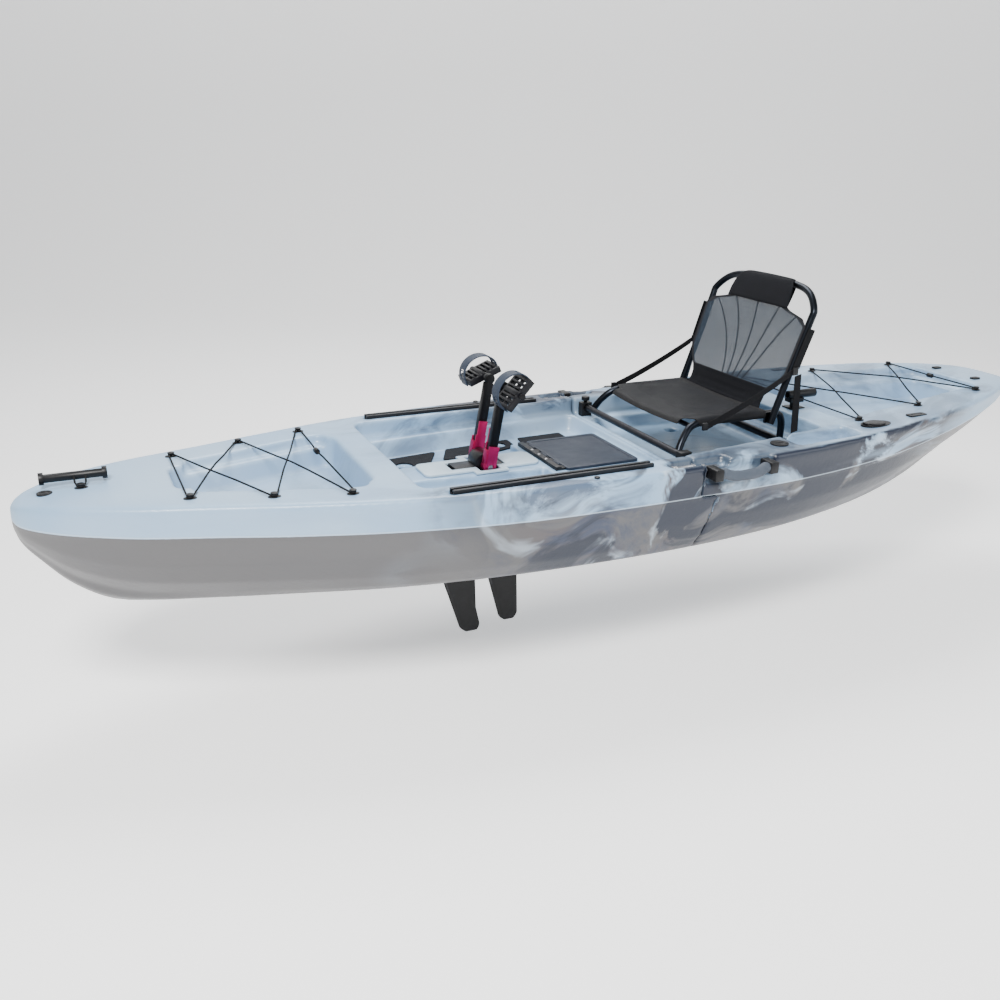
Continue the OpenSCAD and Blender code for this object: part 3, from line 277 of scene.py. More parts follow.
def open_mesh(name):
    """Open knitted mesh: a grid of small holes let the light through between raised threads."""
    m = Shade(name)
    u = m.attribute("across") * (2 * math.pi / MESH_PITCH)
    v = m.attribute("along") * (2 * math.pi / MESH_PITCH)
    cell = u.math("SINE") * v.math("SINE")
    hole = cell.math("ABSOLUTE").step(0.30, 0.60)
    seam = m.attribute("seam")
    hem = m.attribute("hem")
    solid = seam.math("MAXIMUM", hem)
    thread = m.mix(m.noise(m.at, 30.0, 3.0), rgb(0.012, 0.021, 0.034), rgb(0.036, 0.054, 0.080))
    tint = m.mix(solid, thread, rgb(0.012, 0.012, 0.015))
    alpha = (hole * solid.flip() * 0.62).flip()
    rough = m.noise(m.at, 60.0, 2.0) * 0.2 + 0.6
    return m.finish(tint, rough, hole.flip() + seam, 0.0006, alpha=alpha, shine=0.2)


def sling_cloth(name):
    """Coated seat cloth: small raised dots in offset rows with painted highlights on their tops,
    worn paler where it is sat on.
    """
    m = Shade(name)
    dots = m.wave(m.at, "X", DOT_PITCH) * m.wave(m.at, "Y", DOT_PITCH)
    wear = m.noise(m.at, 9.0, 4.0).step(0.4, 0.75)
    hem = m.attribute("hem")
    # The dot term paints the raised dot tops paler, a painted highlight; the noise term is wear.
    paler = wear * 0.5 + dots.step(0.1, 0.8) * 0.4
    tint = m.mix(paler, rgb(0.0035, 0.004, 0.0055), rgb(0.012, 0.013, 0.017))
    tint = m.mix(hem, tint, rgb(0.008, 0.008, 0.009))
    return m.finish(tint, wear * 0.15 + 0.55, dots.step(-0.1, 0.8) + hem, 0.0008, shine=0.18)


def webbing_cloth(name):
    """Polyester webbing: ribs across the strap, from the length stored on its mesh, with painted
    sheen on the rib crowns.
    """
    m = Shade(name)
    rib = (m.attribute("along") * (2 * math.pi / RIB_PITCH)).math("SINE")
    edge = m.attribute("across").math("ABSOLUTE").step(0.75, 0.95)
    # The rib term paints the raised rib crowns paler: painted sheen.
    tint = m.mix(rib.step(-0.3, 0.9) * 0.5, rgb(0.004, 0.004, 0.005), rgb(0.018, 0.018, 0.020))
    tint = m.mix(edge * 0.5, tint, rgb(0.006, 0.006, 0.006))
    rough = m.noise(m.at, 60.0, 2.0) * 0.2 + 0.55
    return m.finish(tint, rough, rib + edge, 0.0004, shine=0.12)


MAT = {
    "hull_front": hull_plastic("hull_front_plastic"),
    "hull_rear": hull_plastic("hull_rear_plastic"),
    "black_plastic": plastic("black_plastic", (0.005, 0.005, 0.006), 0.42, worn=0.02),
    "cord": cloth("shock_cord", (0.012, 0.012, 0.012), 0.004, ("X", "Y"), 0.0004),
    "track": metal("track_alloy", (0.045, 0.046, 0.05), 0.42),
    "foam": foam("deck_foam"),
    "steel": metal("latch_steel", (0.58, 0.58, 0.60), 0.3),
    "grip": plastic("grip_rubber", (0.055, 0.068, 0.09), 0.6, 300.0, 0.0005),
    "lid": plastic("lid_plastic", (0.012, 0.018, 0.032), 0.45, 260.0, 0.0007),
    "plate": plastic("plate_plastic", (0.40, 0.51, 0.60), 0.4),
    "spine": plastic("drive_casing", (0.004, 0.004, 0.005), 0.34, worn=0.02),
    "shaft": metal("shaft_steel", (0.5, 0.5, 0.52), 0.25, (260.0, 8.0, 260.0)),
    "crank": metal("crank_tube", (0.006, 0.006, 0.007), 0.38, (200.0, 200.0, 10.0), 0.6),
    "bracket": metal("forged_bracket", (0.56, 0.018, 0.13), 0.36, (60.0, 60.0, 60.0), 0.85),
    "pedal": plastic("pedal_plastic", (0.005, 0.005, 0.007), 0.45, 260.0, 0.0006, worn=0.02),
    "strap": plastic("strap_rubber", (0.022, 0.032, 0.052), 0.55, 240.0, 0.0006, worn=0.03),
    "fin": plastic("fin_rubber", (0.004, 0.004, 0.005), 0.5, 90.0, 0.0006, worn=0.02),
    "mast": metal("mast_rod", (0.03, 0.03, 0.033), 0.4, (60.0, 60.0, 60.0), 0.6),
    "seat_tube": metal("seat_tube_alloy", (0.020, 0.023, 0.029), 0.32),
    "crossbar": metal("crossbar_alloy", (0.05, 0.05, 0.056), 0.34, (260.0, 8.0, 260.0)),
    "sling": sling_cloth("sling_cloth"),
    "mesh": open_mesh("back_mesh"),
    "pad": cloth("pad_cloth", (0.0035, 0.004, 0.006), 0.0036, ("Y", "Z"), 0.0005),
    "webbing": webbing_cloth("strap_webbing"),
}

# %% [markdown]
# ## Mesh helpers
# Surfaces are functions of two parameters on whole arrays. Closed pieces have outward normals.

# %%
def add_object(name, mesh, material, node):
    """Links a finished mesh, gives it its finish, and lets it ride and stand for its CAD node."""
    obj = bpy.data.objects.new(name, mesh)
    scene.collection.objects.link(obj)
    mesh.materials.clear()
    mesh.materials.append(material)
    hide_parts(node)
    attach(obj, BODY[node])
    return obj


def mesh_of(name, verts, faces, sharp=40.0):
    """A mesh from arrays, with outward normals, smooth but for edges sharper than the angle."""
    mesh = bpy.data.meshes.new(name)
    mesh.from_pydata(np.asarray(verts, float).tolist(), [], [list(map(int, f)) for f in faces])
    tidy(mesh, sharp)
    return mesh


def tidy(mesh, sharp=40.0, weld=0.0):
    """Outward normals, and smooth shading but for edges sharper than the angle."""
    bm = bmesh.new()
    bm.from_mesh(mesh)
    if weld:
        bmesh.ops.remove_doubles(bm, verts=bm.verts, dist=weld)
    bmesh.ops.recalc_face_normals(bm, faces=bm.faces)
    bm.to_mesh(mesh)
    bm.free()
    mesh.shade_smooth()
    mesh.set_sharp_from_angle(angle=math.radians(sharp))
    mesh.update()


def grid_faces(nu, nv, wrap_v=False, offset=0):
    """Quads over a grid of nu by nv points, row by row, closed in v where asked."""
    last = nv if wrap_v else nv - 1
    i, j = np.meshgrid(np.arange(nu - 1), np.arange(last), indexing="ij")
    a, b = i * nv + j, i * nv + (j + 1) % nv
    c, d = (i + 1) * nv + (j + 1) % nv, (i + 1) * nv + j
    return (np.stack([a, b, c, d], -1).reshape(-1, 4) + offset).tolist()


def rings(n, m):
    """Faces of a closed bar: n rings of m points each, and a cap at both ends."""
    caps = [list(range(m)), list(range((n - 1) * m, n * m))]
    return grid_faces(n, m, wrap_v=True) + caps


def store(mesh, name, values):
    """Keeps one number for each point as a float attribute."""
    layer = mesh.attributes.new(name, "FLOAT", "POINT")
    layer.data.foreach_set("value", np.asarray(values, np.float32).ravel())


def points_of(mesh):
    """The mesh's points as rows of x, y, z."""
    flat = np.empty(len(mesh.vertices) * 3)
    mesh.vertices.foreach_get("co", flat)
    return flat.reshape(-1, 3)


def curve_through(points, steps=10):
    """A smooth line through points: Catmull-Rom, each span cut into equal parameter steps."""
    p = np.asarray(points, float)
    p = np.vstack([p[0], p, p[-1]])
    u = np.arange(steps)[:, None] / steps
    spans = [0.5 * (2 * p[k] + (p[k + 1] - p[k - 1]) * u
                    + (2 * p[k - 1] - 5 * p[k] + 4 * p[k + 1] - p[k + 2]) * u**2
                    + (3 * p[k] - p[k - 1] - 3 * p[k + 1] + p[k + 2]) * u**3)
             for k in range(1, len(p) - 2)]
    return np.vstack(spans + [p[-1:]])


def tube(name, path, radius, sides=28, ref=(0, 0, 1)):
    """A round bar along a path: each ring is path + r (cos, sin) in the plane across it."""
    path = np.asarray(path, float)
    radius = np.broadcast_to(np.asarray(radius, float), len(path))[:, None, None]
    along = np.gradient(path, axis=0)
    along /= np.linalg.norm(along, axis=1)[:, None]
    side = np.cross(np.asarray(ref, float), along)
    side /= np.linalg.norm(side, axis=1)[:, None]
    up = np.cross(along, side)
    turn = np.linspace(0, 2 * np.pi, sides, endpoint=False)
    ring = (np.cos(turn)[None, :, None] * side[:, None]
            + np.sin(turn)[None, :, None] * up[:, None])
    verts = (path[:, None] + radius * ring).reshape(-1, 3)
    return mesh_of(name, verts, rings(len(path), sides))


def shell(name, top, under, sharp=50.0, **layers):
    """A thin closed solid between two grids of points of the same shape, joined around the rim."""
    nu, nv = top.shape[:2]
    n = nu * nv
    rim = ([i * nv for i in range(nu)], [i * nv + nv - 1 for i in range(nu)],
           list(range(nv)), [(nu - 1) * nv + j for j in range(nv)])
    faces = grid_faces(nu, nv) + grid_faces(nu, nv, offset=n)
    for line in rim:
        faces += [[a, b, b + n, a + n] for a, b in zip(line, line[1:])]
    mesh = mesh_of(name, np.vstack([top.reshape(-1, 3), under.reshape(-1, 3)]), faces, sharp)
    for key, values in layers.items():
        store(mesh, key, np.concatenate([np.ravel(values)] * 2))
    return mesh


def apply_modifiers(obj):
    """The mesh that an object's modifiers give."""
    bpy.context.view_layer.update()
    graph = bpy.context.evaluated_depsgraph_get()
    made = bpy.data.meshes.new_from_object(obj.evaluated_get(graph))
    made.name = obj.name
    old = obj.data
    obj.modifiers.clear()
    bpy.data.objects.remove(obj)
    bpy.data.meshes.remove(old)
    return made


WELD = 2e-5
FLAT_ANGLE, BEVEL_ANGLE = math.radians(0.6), math.radians(30)


def softened(node, width):
    """A copy of a CAD node with its sharp edges rounded by width metres; it stands for the node."""
    mesh = frame["nodes"][node].data.copy()
    bm = bmesh.new()
    bm.from_mesh(mesh)
    bmesh.ops.remove_doubles(bm, verts=bm.verts, dist=WELD)
    bmesh.ops.dissolve_limit(bm, angle_limit=FLAT_ANGLE, verts=bm.verts, edges=bm.edges)
    bm.to_mesh(mesh)
    bm.free()
    work = bpy.data.objects.new(node + "_soft", mesh)
    scene.collection.objects.link(work)
    mod = work.modifiers.new("Bevel", "BEVEL")
    mod.width, mod.segments = width, 2
    mod.limit_method, mod.angle_limit = "ANGLE", BEVEL_ANGLE
    mod.miter_outer = "MITER_ARC"
    mesh = apply_modifiers(work)
    tidy(mesh, 42.0, 1e-6)
    return add_object(node + "_piece", mesh, MAT[SLOT[node]], node)


def cells(work, voxel, passes):
    """Rebuilds an object from small cubic cells and smooths it, by modifiers."""
    mod = work.modifiers.new("Remesh", "REMESH")
    mod.mode, mod.voxel_size = "VOXEL", voxel
    smooth = work.modifiers.new("Smooth", "SMOOTH")
    smooth.factor, smooth.iterations = 0.5, passes
    return apply_modifiers(work)


def remeshed(node, voxel):
    """A copy of a CAD node rebuilt from small cells and smoothed, for soft moulded edges."""
    work = bpy.data.objects.new(node + "_soft", frame["nodes"][node].data.copy())
    scene.collection.objects.link(work)
    tidy(work.data, 180.0, WELD)
    mesh = cells(work, voxel, 4)
    tidy(mesh, 180.0)
    return add_object(node + "_piece", mesh, MAT[SLOT[node]], node)

# %% [markdown]
# ## Hull sections
# The outer body is lofted through stations (x, keel z, bilge y, bilge z, seam y, seam z, sheer y,
# sheer z, in millimetres), finer than the frame. Tapered pockets are cut from it, then the solid is
# rebuilt from small cells and smoothed, which gives the round edges of rotomoulding.

# %%
STATIONS = np.array([
    [-1660, 238, 10, 246, 22, 266, 12, 292], [-1644, 192, 24, 208, 58, 258, 50, 304],
    [-1604, 140, 42, 168, 98, 254, 92, 312], [-1544, 74, 62, 116, 136, 250, 132, 318],
    [-1460, 20, 86, 76, 176, 246, 172, 320], [-1360, 5, 118, 56, 214, 242, 212, 320],
    [-1200, 1, 170, 50, 260, 238, 258, 319], [-1000, 0, 232, 48, 316, 232, 320, 318],
    [-750, 0, 304, 47, 376, 228, 386, 318], [-450, 0, 352, 46, 420, 225, 430, 318],
    [-100, 0, 374, 46, 433, 224, 444, 318], [250, 0, 372, 50, 434, 226, 445, 322],
    [550, 2, 346, 62, 424, 233, 438, 330], [850, 8, 292, 92, 392, 249, 410, 342],
    [1100, 26, 222, 140, 336, 270, 352, 353], [1320, 70, 142, 196, 268, 290, 284, 360],
    [1490, 132, 84, 250, 196, 306, 208, 363], [1600, 200, 48, 286, 130, 318, 138, 362],
    [1648, 250, 26, 308, 78, 326, 82, 358], [1660, 276, 14, 312, 40, 330, 42, 350]], float)
SPLIT_X, STEP_X, STEP_Z = 92.0, 150.0, 222.0
FLOOR, LEDGE, COAMING, SKY = 214.0, 268.0, 244.0, 470.0
THROUGH = (-40, 400)
SCUPPER_R, REAR_GAP = 19, 1.5
HULL_VOXEL = 0.0073


def half_sections(stations):
    """The half section of the hull at each station, from the keel up to the deck's centre."""
    _, zk, yb, zb, ys, zs, b, zd = stations.T
    e = np.minimum(14.0, 0.4 * b)
    rows = [(0 * zk, zk), (0.34 * yb, zk + 0.06 * (zb - zk)), (0.66 * yb, zk + 0.22 * (zb - zk)),
            (0.88 * yb, zk + 0.52 * (zb - zk)), (yb, zb),
            (yb + 0.42 * (ys - yb), zb + 0.24 * (zs - zb)),
            (yb + 0.76 * (ys - yb), zb + 0.56 * (zs - zb)), (ys - 2.5, zs - 3), (ys + 2.5, zs),
            (ys + 0.35 * (b - ys), zs + 0.42 * (zd - zs)), (b, zd - 0.8 * e),
            (b - 0.3 * e, zd - 0.25 * e), (b - e, zd), (0 * zk, zd + 0.5)]
    return np.stack([np.stack(r, -1) for r in rows], 1)


def hull_loft():
    """The outer body: rings of the mirrored half section along the boat, closed at both ends."""
    fine = curve_through(STATIONS, 6)
    half = half_sections(fine)
    ring = np.concatenate([half * (-1, 1), half[:, -2:0:-1]], 1)
    x = np.broadcast_to(fine[:, :1], ring.shape[:2])
    verts = np.concatenate([x[..., None], ring], -1)
    n, m = verts.shape[:2]
    return mesh_of("hull_loft", verts.reshape(-1, 3) * MM, rings(n, m))


def pocket(x0, x1, wa, wb, z0, z1, draft, r, y=0.0):
    """A tapered pocket: two rounded outlines, the lower drawn in by the draft, straight walls."""
    def outline(r, inset, z):
        turn = np.linspace(0, np.pi / 2, 7)
        corners = [(x1 - inset - r, y + wb - inset - r, 0), (x0 + inset + r, y + wa - inset - r, 1),
                   (x0 + inset + r, y - wa + inset + r, 2), (x1 - inset - r, y - wb + inset + r, 3)]
        return np.concatenate([np.stack([cx + r * np.cos(turn + k * np.pi / 2),
                                         cy + r * np.sin(turn + k * np.pi / 2),
                                         np.full(7, z)], -1) for cx, cy, k in corners])
    verts = np.concatenate([outline(0.7 * r, draft, z0), outline(r, 0, z1)])
    return mesh_of("pocket", verts * MM, rings(2, len(verts) // 2))


def prism(outline, low, high, axis=1):
    """A straight prism: an outline in the other two axes between two values of the axis."""
    flat = np.asarray(outline, float)
    verts = np.concatenate([np.insert(flat, axis, low, 1), np.insert(flat, axis, high, 1)])
    return mesh_of("prism", verts * MM, rings(2, len(flat)))


def box_mesh(x0, x1, y0, y1, z0, z1):
    return prism([[x0, y0], [x1, y0], [x1, y1], [x0, y1]], z0, z1, 2)


def disc(x, y, r, z0, z1):
    turn = np.linspace(0, 2 * np.pi, 28, endpoint=False)
    return prism(np.stack([x + r * np.cos(turn), y + r * np.sin(turn)], -1), z0, z1, 2)


def carve(name, body, steps):
    """The body with each step's solid cut away, kept or added, in order."""
    work = bpy.data.objects.new(name, body)
    scene.collection.objects.link(work)
    tools = []
    for operation, mesh in steps:
        tool = bpy.data.objects.new("tool", mesh)
        scene.collection.objects.link(tool)
        mod = work.modifiers.new("Cut", "BOOLEAN")
        mod.operation, mod.object, mod.solver = operation, tool, "MANIFOLD"
        tools.append(tool)
    made = cells(work, HULL_VOXEL, 3)
    for tool in tools:
        old = tool.data
        bpy.data.objects.remove(tool)
        bpy.data.meshes.remove(old)
    return made


def mark_hull(mesh):
    """Stores each point's depth below the moulding seam, and whether it is inside the deck line."""
    p = points_of(mesh) / MM
    fine = curve_through(STATIONS, 8)
    half = half_sections(fine)
    x, y = p[:, 0], np.abs(p[:, 1])
    def at(column):
        return np.interp(x, fine[:, 0], column)

    ys, zs = at(half[:, 8, 0]), at(half[:, 8, 1])
    bottom = 0 * y
    for k in range(8):
        ya, yb = at(half[:, k, 0]), at(half[:, k + 1, 0])
        za, zb = at(half[:, k, 1]), at(half[:, k + 1, 1])
        share = np.clip((y - ya) / np.maximum(yb - ya, 1e-3), 0, 1)
        bottom = np.where(y >= ya, za + share * (zb - za), bottom)
    outside = (p[:, 2] - bottom < 22) | (y > ys - 6)
    store(mesh, "seam", np.where(outside, zs - p[:, 2], -60.0) * MM)
    b, zd = at(half[:, 10, 0]), at(half[:, 12, 1])
    inside = np.clip((b - 10 - y) / 6, 0, 1) * np.clip((p[:, 2] - bottom - 14) / 10, 0, 1)
    store(mesh, "inner", inside)


def side_boxes(x0, x1, y0, y1, z0):
    """Cuts on both sides, from y0 to y1 off the centreline and upwards from z0."""
    return [("DIFFERENCE", box_mesh(x0, x1, a, b, z0, SKY)) for a, b in ((-y1, -y0), (y0, y1))]


def scuppers(places):
    """Round holes down through the hull, one on each side for every place."""
    return [("DIFFERENCE", disc(x, s * y, SCUPPER_R, *THROUGH)) for x, y in places for s in (-1, 1)]


def fore(gap):
    """Everything ahead of the stepped split, moved aft by the gap."""
    return prism([[-2200, -50], [SPLIT_X + 6 + gap, -50], [STEP_X + gap, STEP_Z + gap],
                  [SPLIT_X + gap, STEP_Z + gap], [SPLIT_X + gap, 600], [-2200, 600]], -600, 600)


def cut(*sizes, **place):
    return ("DIFFERENCE", pocket(*sizes, **place))


hull_front_mesh = carve("hull_front_soft", hull_loft(), [
    ("INTERSECT", fore(0)),
    cut(-1290, -770, 108, 228, 226, SKY, 26, 40), cut(-1240, -800, 140, 246, 290, SKY, 8, 40),
    cut(-700, 172, 322, 346, LEDGE, SKY, 8, 36), cut(-690, 86, 262, 318, FLOOR, LEDGE + 2, 18, 34),
    ("UNION", pocket(-690, -232, 62, 96, FLOOR - 60, COAMING, -10, 26)),
    ("UNION", box_mesh(-228, 86, -159, 159, FLOOR - 60, COAMING)),
    cut(-178, 40, 118, 118, 120, COAMING + 4, 6, 24), cut(-566, -246, 42, 42, *THROUGH, 0, 20)]
    + scuppers(((-585, 150), (-235, 236)))
    + [("DIFFERENCE", disc(-1578, 0, 21, 316, 400))]
    + side_boxes(-642, -34, 351, 385, 301.7) + side_boxes(0, 192, 377, 419, 296))
mark_hull(hull_front_mesh)
hull_rear_mesh = carve("hull_rear_soft", hull_loft(), [
    ("DIFFERENCE", fore(REAR_GAP)),
    cut(12, 640, 340, 296, LEDGE, SKY, 8, 34), cut(112, 600, 262, 226, 226, LEDGE + 2, 18, 34),
    cut(752, 1440, 236, 132, 246, SKY, 26, 46), cut(736, 1458, 258, 160, 324, SKY, 8, 46),
    cut(452, 700, 53, 53, 272, SKY, 8, 18, y=349), cut(452, 700, 53, 53, 272, SKY, 8, 18, y=-349)]
    + scuppers(((380, 160),))
    + side_boxes(100, 330, 422, 560, 262) + side_boxes(0, 192, 377, 419, 296))
mark_hull(hull_rear_mesh)
for name, mesh in (("hull_front", hull_front_mesh), ("hull_rear", hull_rear_mesh)):
    mesh.shade_smooth()
    add_object(name + "_piece", mesh, MAT[name], name)

# %% [markdown]
# ## Seat
# Frame tubes follow the same lines as the frame part with more sides. The base is a stretched sheet
# that lies over the side tubes and wraps around them, with its front corners cut away. The back is
# an open mesh held between the uprights, with fanned seams.

# %%
HALF, TUBE_R, BAR_X, BAR_Z = 220.0, 11.0, 118.0, 298.0
REAR_BAR_X, REAR_BAR_Z, REAR_BAR_R = 528, 280.2, 11.8
FRONT_BAR_X, FRONT_BAR_Z, FRONT_BAR_R = 192, 360, 8
LUG_X, LUG_Z, LUG_SIDES = (452, 476), (348, 382), ((224.6, 233.6), (-233.6, -224.6))
LEAN, BACK_X, BACK_Z = math.radians(19), 464.0, 352.0
SHEET_FRONT, SHEET_REAR, SHEET_THICK = 160, 452, 2.0
BACK_LOW, BACK_TOP, BACK_THICK = 84, 350, 1.6


def on_back(p):
    """Points of the seat back's own frame, with x forward of its tubes negative, in the boat's."""
    p = np.asarray(p, float)
    x, y, z = p[..., 0], p[..., 1], p[..., 2]
    return np.stack([BACK_X + x * math.cos(LEAN) + z * math.sin(LEAN), y,
                     BACK_Z - x * math.sin(LEAN) + z * math.cos(LEAN)], -1) * MM


side_run = np.array([[126, -254, 298], [148, -242, 334], [184, -228, 364], [238, -222, 371],
                     [400, -220, 373], [496, -220, 371], [525, -220, 348],
                     [REAR_BAR_X, -220, REAR_BAR_Z]], float)
back_run = np.array([[0, -245, -4], [0, -244, 220], [0, -247, 324], [0, -243, 358], [4, -198, 400],
                     [8, -128, 418], [8, 0, 420]], float)


def join(name, meshes):
    """One mesh out of several."""
    bm = bmesh.new()
    for part in meshes:
        bm.from_mesh(part)
    mesh = bpy.data.meshes.new(name)
    bm.to_mesh(mesh)
    bm.free()
    mesh.shade_smooth()
    mesh.set_sharp_from_angle(angle=math.radians(40))
    return mesh


frame_bits = [tube("rail", curve_through(side_run * (1, s, 1)) * MM, TUBE_R * MM, ref=(0, 1, 0))
              for s in (1, -1)]
rear_bar = np.array([[REAR_BAR_X, y, REAR_BAR_Z] for y in (-268, -267, 267, 268)])
front_bar = np.array([[FRONT_BAR_X, y, FRONT_BAR_Z] for y in (-224, 224)])
frame_bits += [tube("rear_bar", rear_bar * MM, REAR_BAR_R * MM),
               tube("front_bar", front_bar * MM, FRONT_BAR_R * MM)]
frame_bits += [box_mesh(*LUG_X, *span, *LUG_Z) for span in LUG_SIDES]
add_object("seat_frame_piece", join("seat_frame_tubes", frame_bits), MAT["seat_tube"], "seat_frame")
whole_back = np.concatenate([back_run, back_run[-2::-1] * (1, -1, 1)])
back_tube = tube("seat_back_tube", on_back(curve_through(whole_back)), TUBE_R * MM,
                 ref=(math.cos(LEAN), 0, -math.sin(LEAN)))
add_object("seat_back_frame_piece", back_tube, MAT["seat_tube"], "seat_back_frame")


def sling():
    """Base sheet: x(u) along the seat; across, y = s up to the tube, then around it by angle
    (s - half) / r. Gives the mesh, and its flat width and length in metres."""
    u = np.linspace(0, 1, 90)[:, None]
    x = SHEET_FRONT + (SHEET_REAR - SHEET_FRONT) * u
    wrap_r = TUBE_R + 2.2
    wrapped = wrap_r * 2.3
    wide = HALF - 30 + (30 + wrapped) * np.clip((x - 188) / 26, 0, 1) ** 0.7
    s = np.linspace(-1, 1, 150)[None, :] * wide
    over = np.clip((np.abs(s) - HALF) / wrap_r, 0, None)
    y = np.sign(s) * (np.minimum(np.abs(s), HALF) + wrap_r * np.sin(over))
    tube_z = BAR_Z + 75 - 6 * np.clip((238 - x) / 60, 0, 1)
    deeper_aft = 0.35 + 0.65 * np.sin(np.pi * np.clip(u * 0.9 + 0.1, 0, 1))
    sag = 17 * np.clip(1 - 1.1 * (s / HALF) ** 2, 0, 1) * deeper_aft
    by_tube = np.exp(-((np.abs(s) - HALF) / 60) ** 2)
    crease = 1.1 * np.sin(s / 11 + 5 * u) * by_tube * np.sin(np.pi * u)
    z = tube_z + wrap_r * np.cos(over) - (over <= 0) * (sag + crease)
    z = z - 14 * np.clip((176 - x) / 16, 0, 1) ** 2
    top = np.stack([x + 0 * s, y, z], -1)
    outward = np.cross(np.gradient(top, axis=1), np.gradient(top, axis=0))
    outward /= np.linalg.norm(outward, axis=-1)[..., None]
    hem = np.maximum(np.clip((np.abs(s) - wide + 16) / 3, 0, 1),
                     np.clip((14 - (x - SHEET_FRONT)) / 3, 0, 1) + 0 * s)
    hem = np.maximum(hem, np.clip((x - 432) / 3, 0, 1) + 0 * s)
    mesh = shell("seat_base_sheet", top * MM, (top - outward * SHEET_THICK) * MM, hem=hem)
    middle = top[:, top.shape[1] // 2]
    length = float(np.linalg.norm(np.diff(middle, axis=0), axis=1).sum()) * MM
    return mesh, 2 * (HALF + wrapped) * MM, length


sling_mesh, sling_w, sling_l = sling()
sling_obj = add_object("seat_base_piece", sling_mesh, MAT["sling"], "seat_base_fabric")

BACK_OUT = np.array([[196, BACK_LOW], [222, 110], [247, 150], [250, 300], [226, 322], [160, 336],
                     [130, BACK_TOP]], float)


def back_mesh():
    """Back sheet: height along v, half width read from the outline, hollowed towards the middle."""
    v = np.linspace(0, 1, 110)[:, None]
    z = BACK_LOW + (BACK_TOP - BACK_LOW) * v
    half_w = np.interp(z, BACK_OUT[:, 1], BACK_OUT[:, 0])
    t = np.linspace(-1, 1, 170)[None, :]
    y = t * half_w
    hollow = 22 * (1 - t**2) * np.sin(np.pi * np.clip(v * 0.8 + 0.15, 0, 1))
    seams = np.zeros_like(y)
    for k in (-2, -1, 0, 1, 2):
        line = k * (24 + 52 * v + 38 * v**3)
        seams = np.maximum(seams, np.exp(-((y - line) / 2.3) ** 2))
    puff = 2.5 * (1 - seams) * (1 - t**8)
    x = -TUBE_R - 2.4 + hollow - puff
    top = np.stack([x + 0 * y, y, z + 0 * y], -1)
    side_hem = np.abs(y) - half_w + 12 + 22 * np.clip((z - 296) / 30, 0, 1)
    hem = np.maximum(np.clip(side_hem / 3, 0, 1), np.clip((94 - z) / 3, 0, 1) + 0 * y)
    return shell("seat_back_sheet", on_back(top), on_back(top + (BACK_THICK, 0, 0)), hem=hem,
                 seam=seams, across=y * MM, along=(z + 0 * y) * MM)


back_obj = add_object("seat_back_mesh_piece", back_mesh(), MAT["mesh"], "seat_back_mesh")


def pad_over(name, path, half_w, thick, puff):
    """A padded panel: its middle runs along a path, its edge is rounded and its face swells."""
    path = curve_through(path, 12)
    n = len(path)
    t = np.linspace(-1, 1, 90)[None, :]
    v = np.linspace(0, 1, n)[:, None]
    w = np.interp(np.linspace(0, 1, n), np.linspace(0, 1, len(half_w)), half_w)[:, None]
    along = np.gradient(path, axis=0)
    normal = np.stack([-along[:, 1], along[:, 0]], -1)
    normal /= np.linalg.norm(normal, axis=1)[:, None]
    edge = (np.clip(1 - np.abs(t) ** 14, 0, 1) ** 0.5
            * np.clip(1 - np.abs(2 * v - 1) ** 18, 0, 1) ** 0.5)
    quilt = puff * (1 - t**2) * (0.75 + 0.25 * np.cos(v * 6 * np.pi))
    half_t = edge * (thick + quilt) / 2

    def face(sign):
        q = path[:, None] + sign * half_t[..., None] * normal[:, None]
        return on_back(np.stack([q[..., 0], t * w, q[..., 1]], -1))

    return shell(name, face(1), face(-1), 60.0)


HEAD_PATH = [[-17, 340], [-17, 372], [-14, 404], [-8, 423], [8, 431.5], [24, 423], [29, 400],
             [27, 352]]
head_pad = pad_over("headrest_pad", HEAD_PATH, [150, 147, 140, 128, 116, 108, 104, 102, 100], 5, 5)
head_obj = add_object("seat_headrest_piece", head_pad, MAT["pad"], "seat_headrest")
LUMBAR_PATH = [[-19, 24], [-15, 44], [-14, 68], [-16, 94]]
lumbar_pad = pad_over("lumbar_pad", LUMBAR_PATH, [196, 188, 190, 204], 4, 4)
lumbar_obj = add_object("seat_lumbar_piece", lumbar_pad, MAT["pad"], "seat_lumbar")


# %% [markdown]
# ## Webbing, pads, grips
# Straps are flat ribbons along a line with a little slack. Foam pads keep the frame's outline with
# soft edges. The carry grips have shallow finger rings.

# %%
STRAP_W, STRAP_T = 25, 1.8


def ribbon(a, b, side, slack):
    """A flat strap from a to b that sags by slack at mid length; its width lies along side."""
    a, b, side = (np.asarray(q, float) for q in (a, b, side))
    u = np.linspace(0, 1, 40)[:, None]
    line = a + (b - a) * u - np.array([0, 0, slack]) * (4 * u * (1 - u))
    t = np.linspace(-1, 1, 9)[None, :, None]
    side = side / np.linalg.norm(side) * STRAP_W / 2
    flat = np.cross(b - a, side)
    flat /= np.linalg.norm(flat)
    top = line[:, None] + t * side + flat * STRAP_T / 2
    shape = (len(u), t.shape[1])
    return shell("w", top * MM, (top - flat * STRAP_T) * MM,
                 along=np.broadcast_to(u * np.linalg.norm(b - a) * MM, shape),
                 across=np.broadcast_to(t[..., 0], shape))


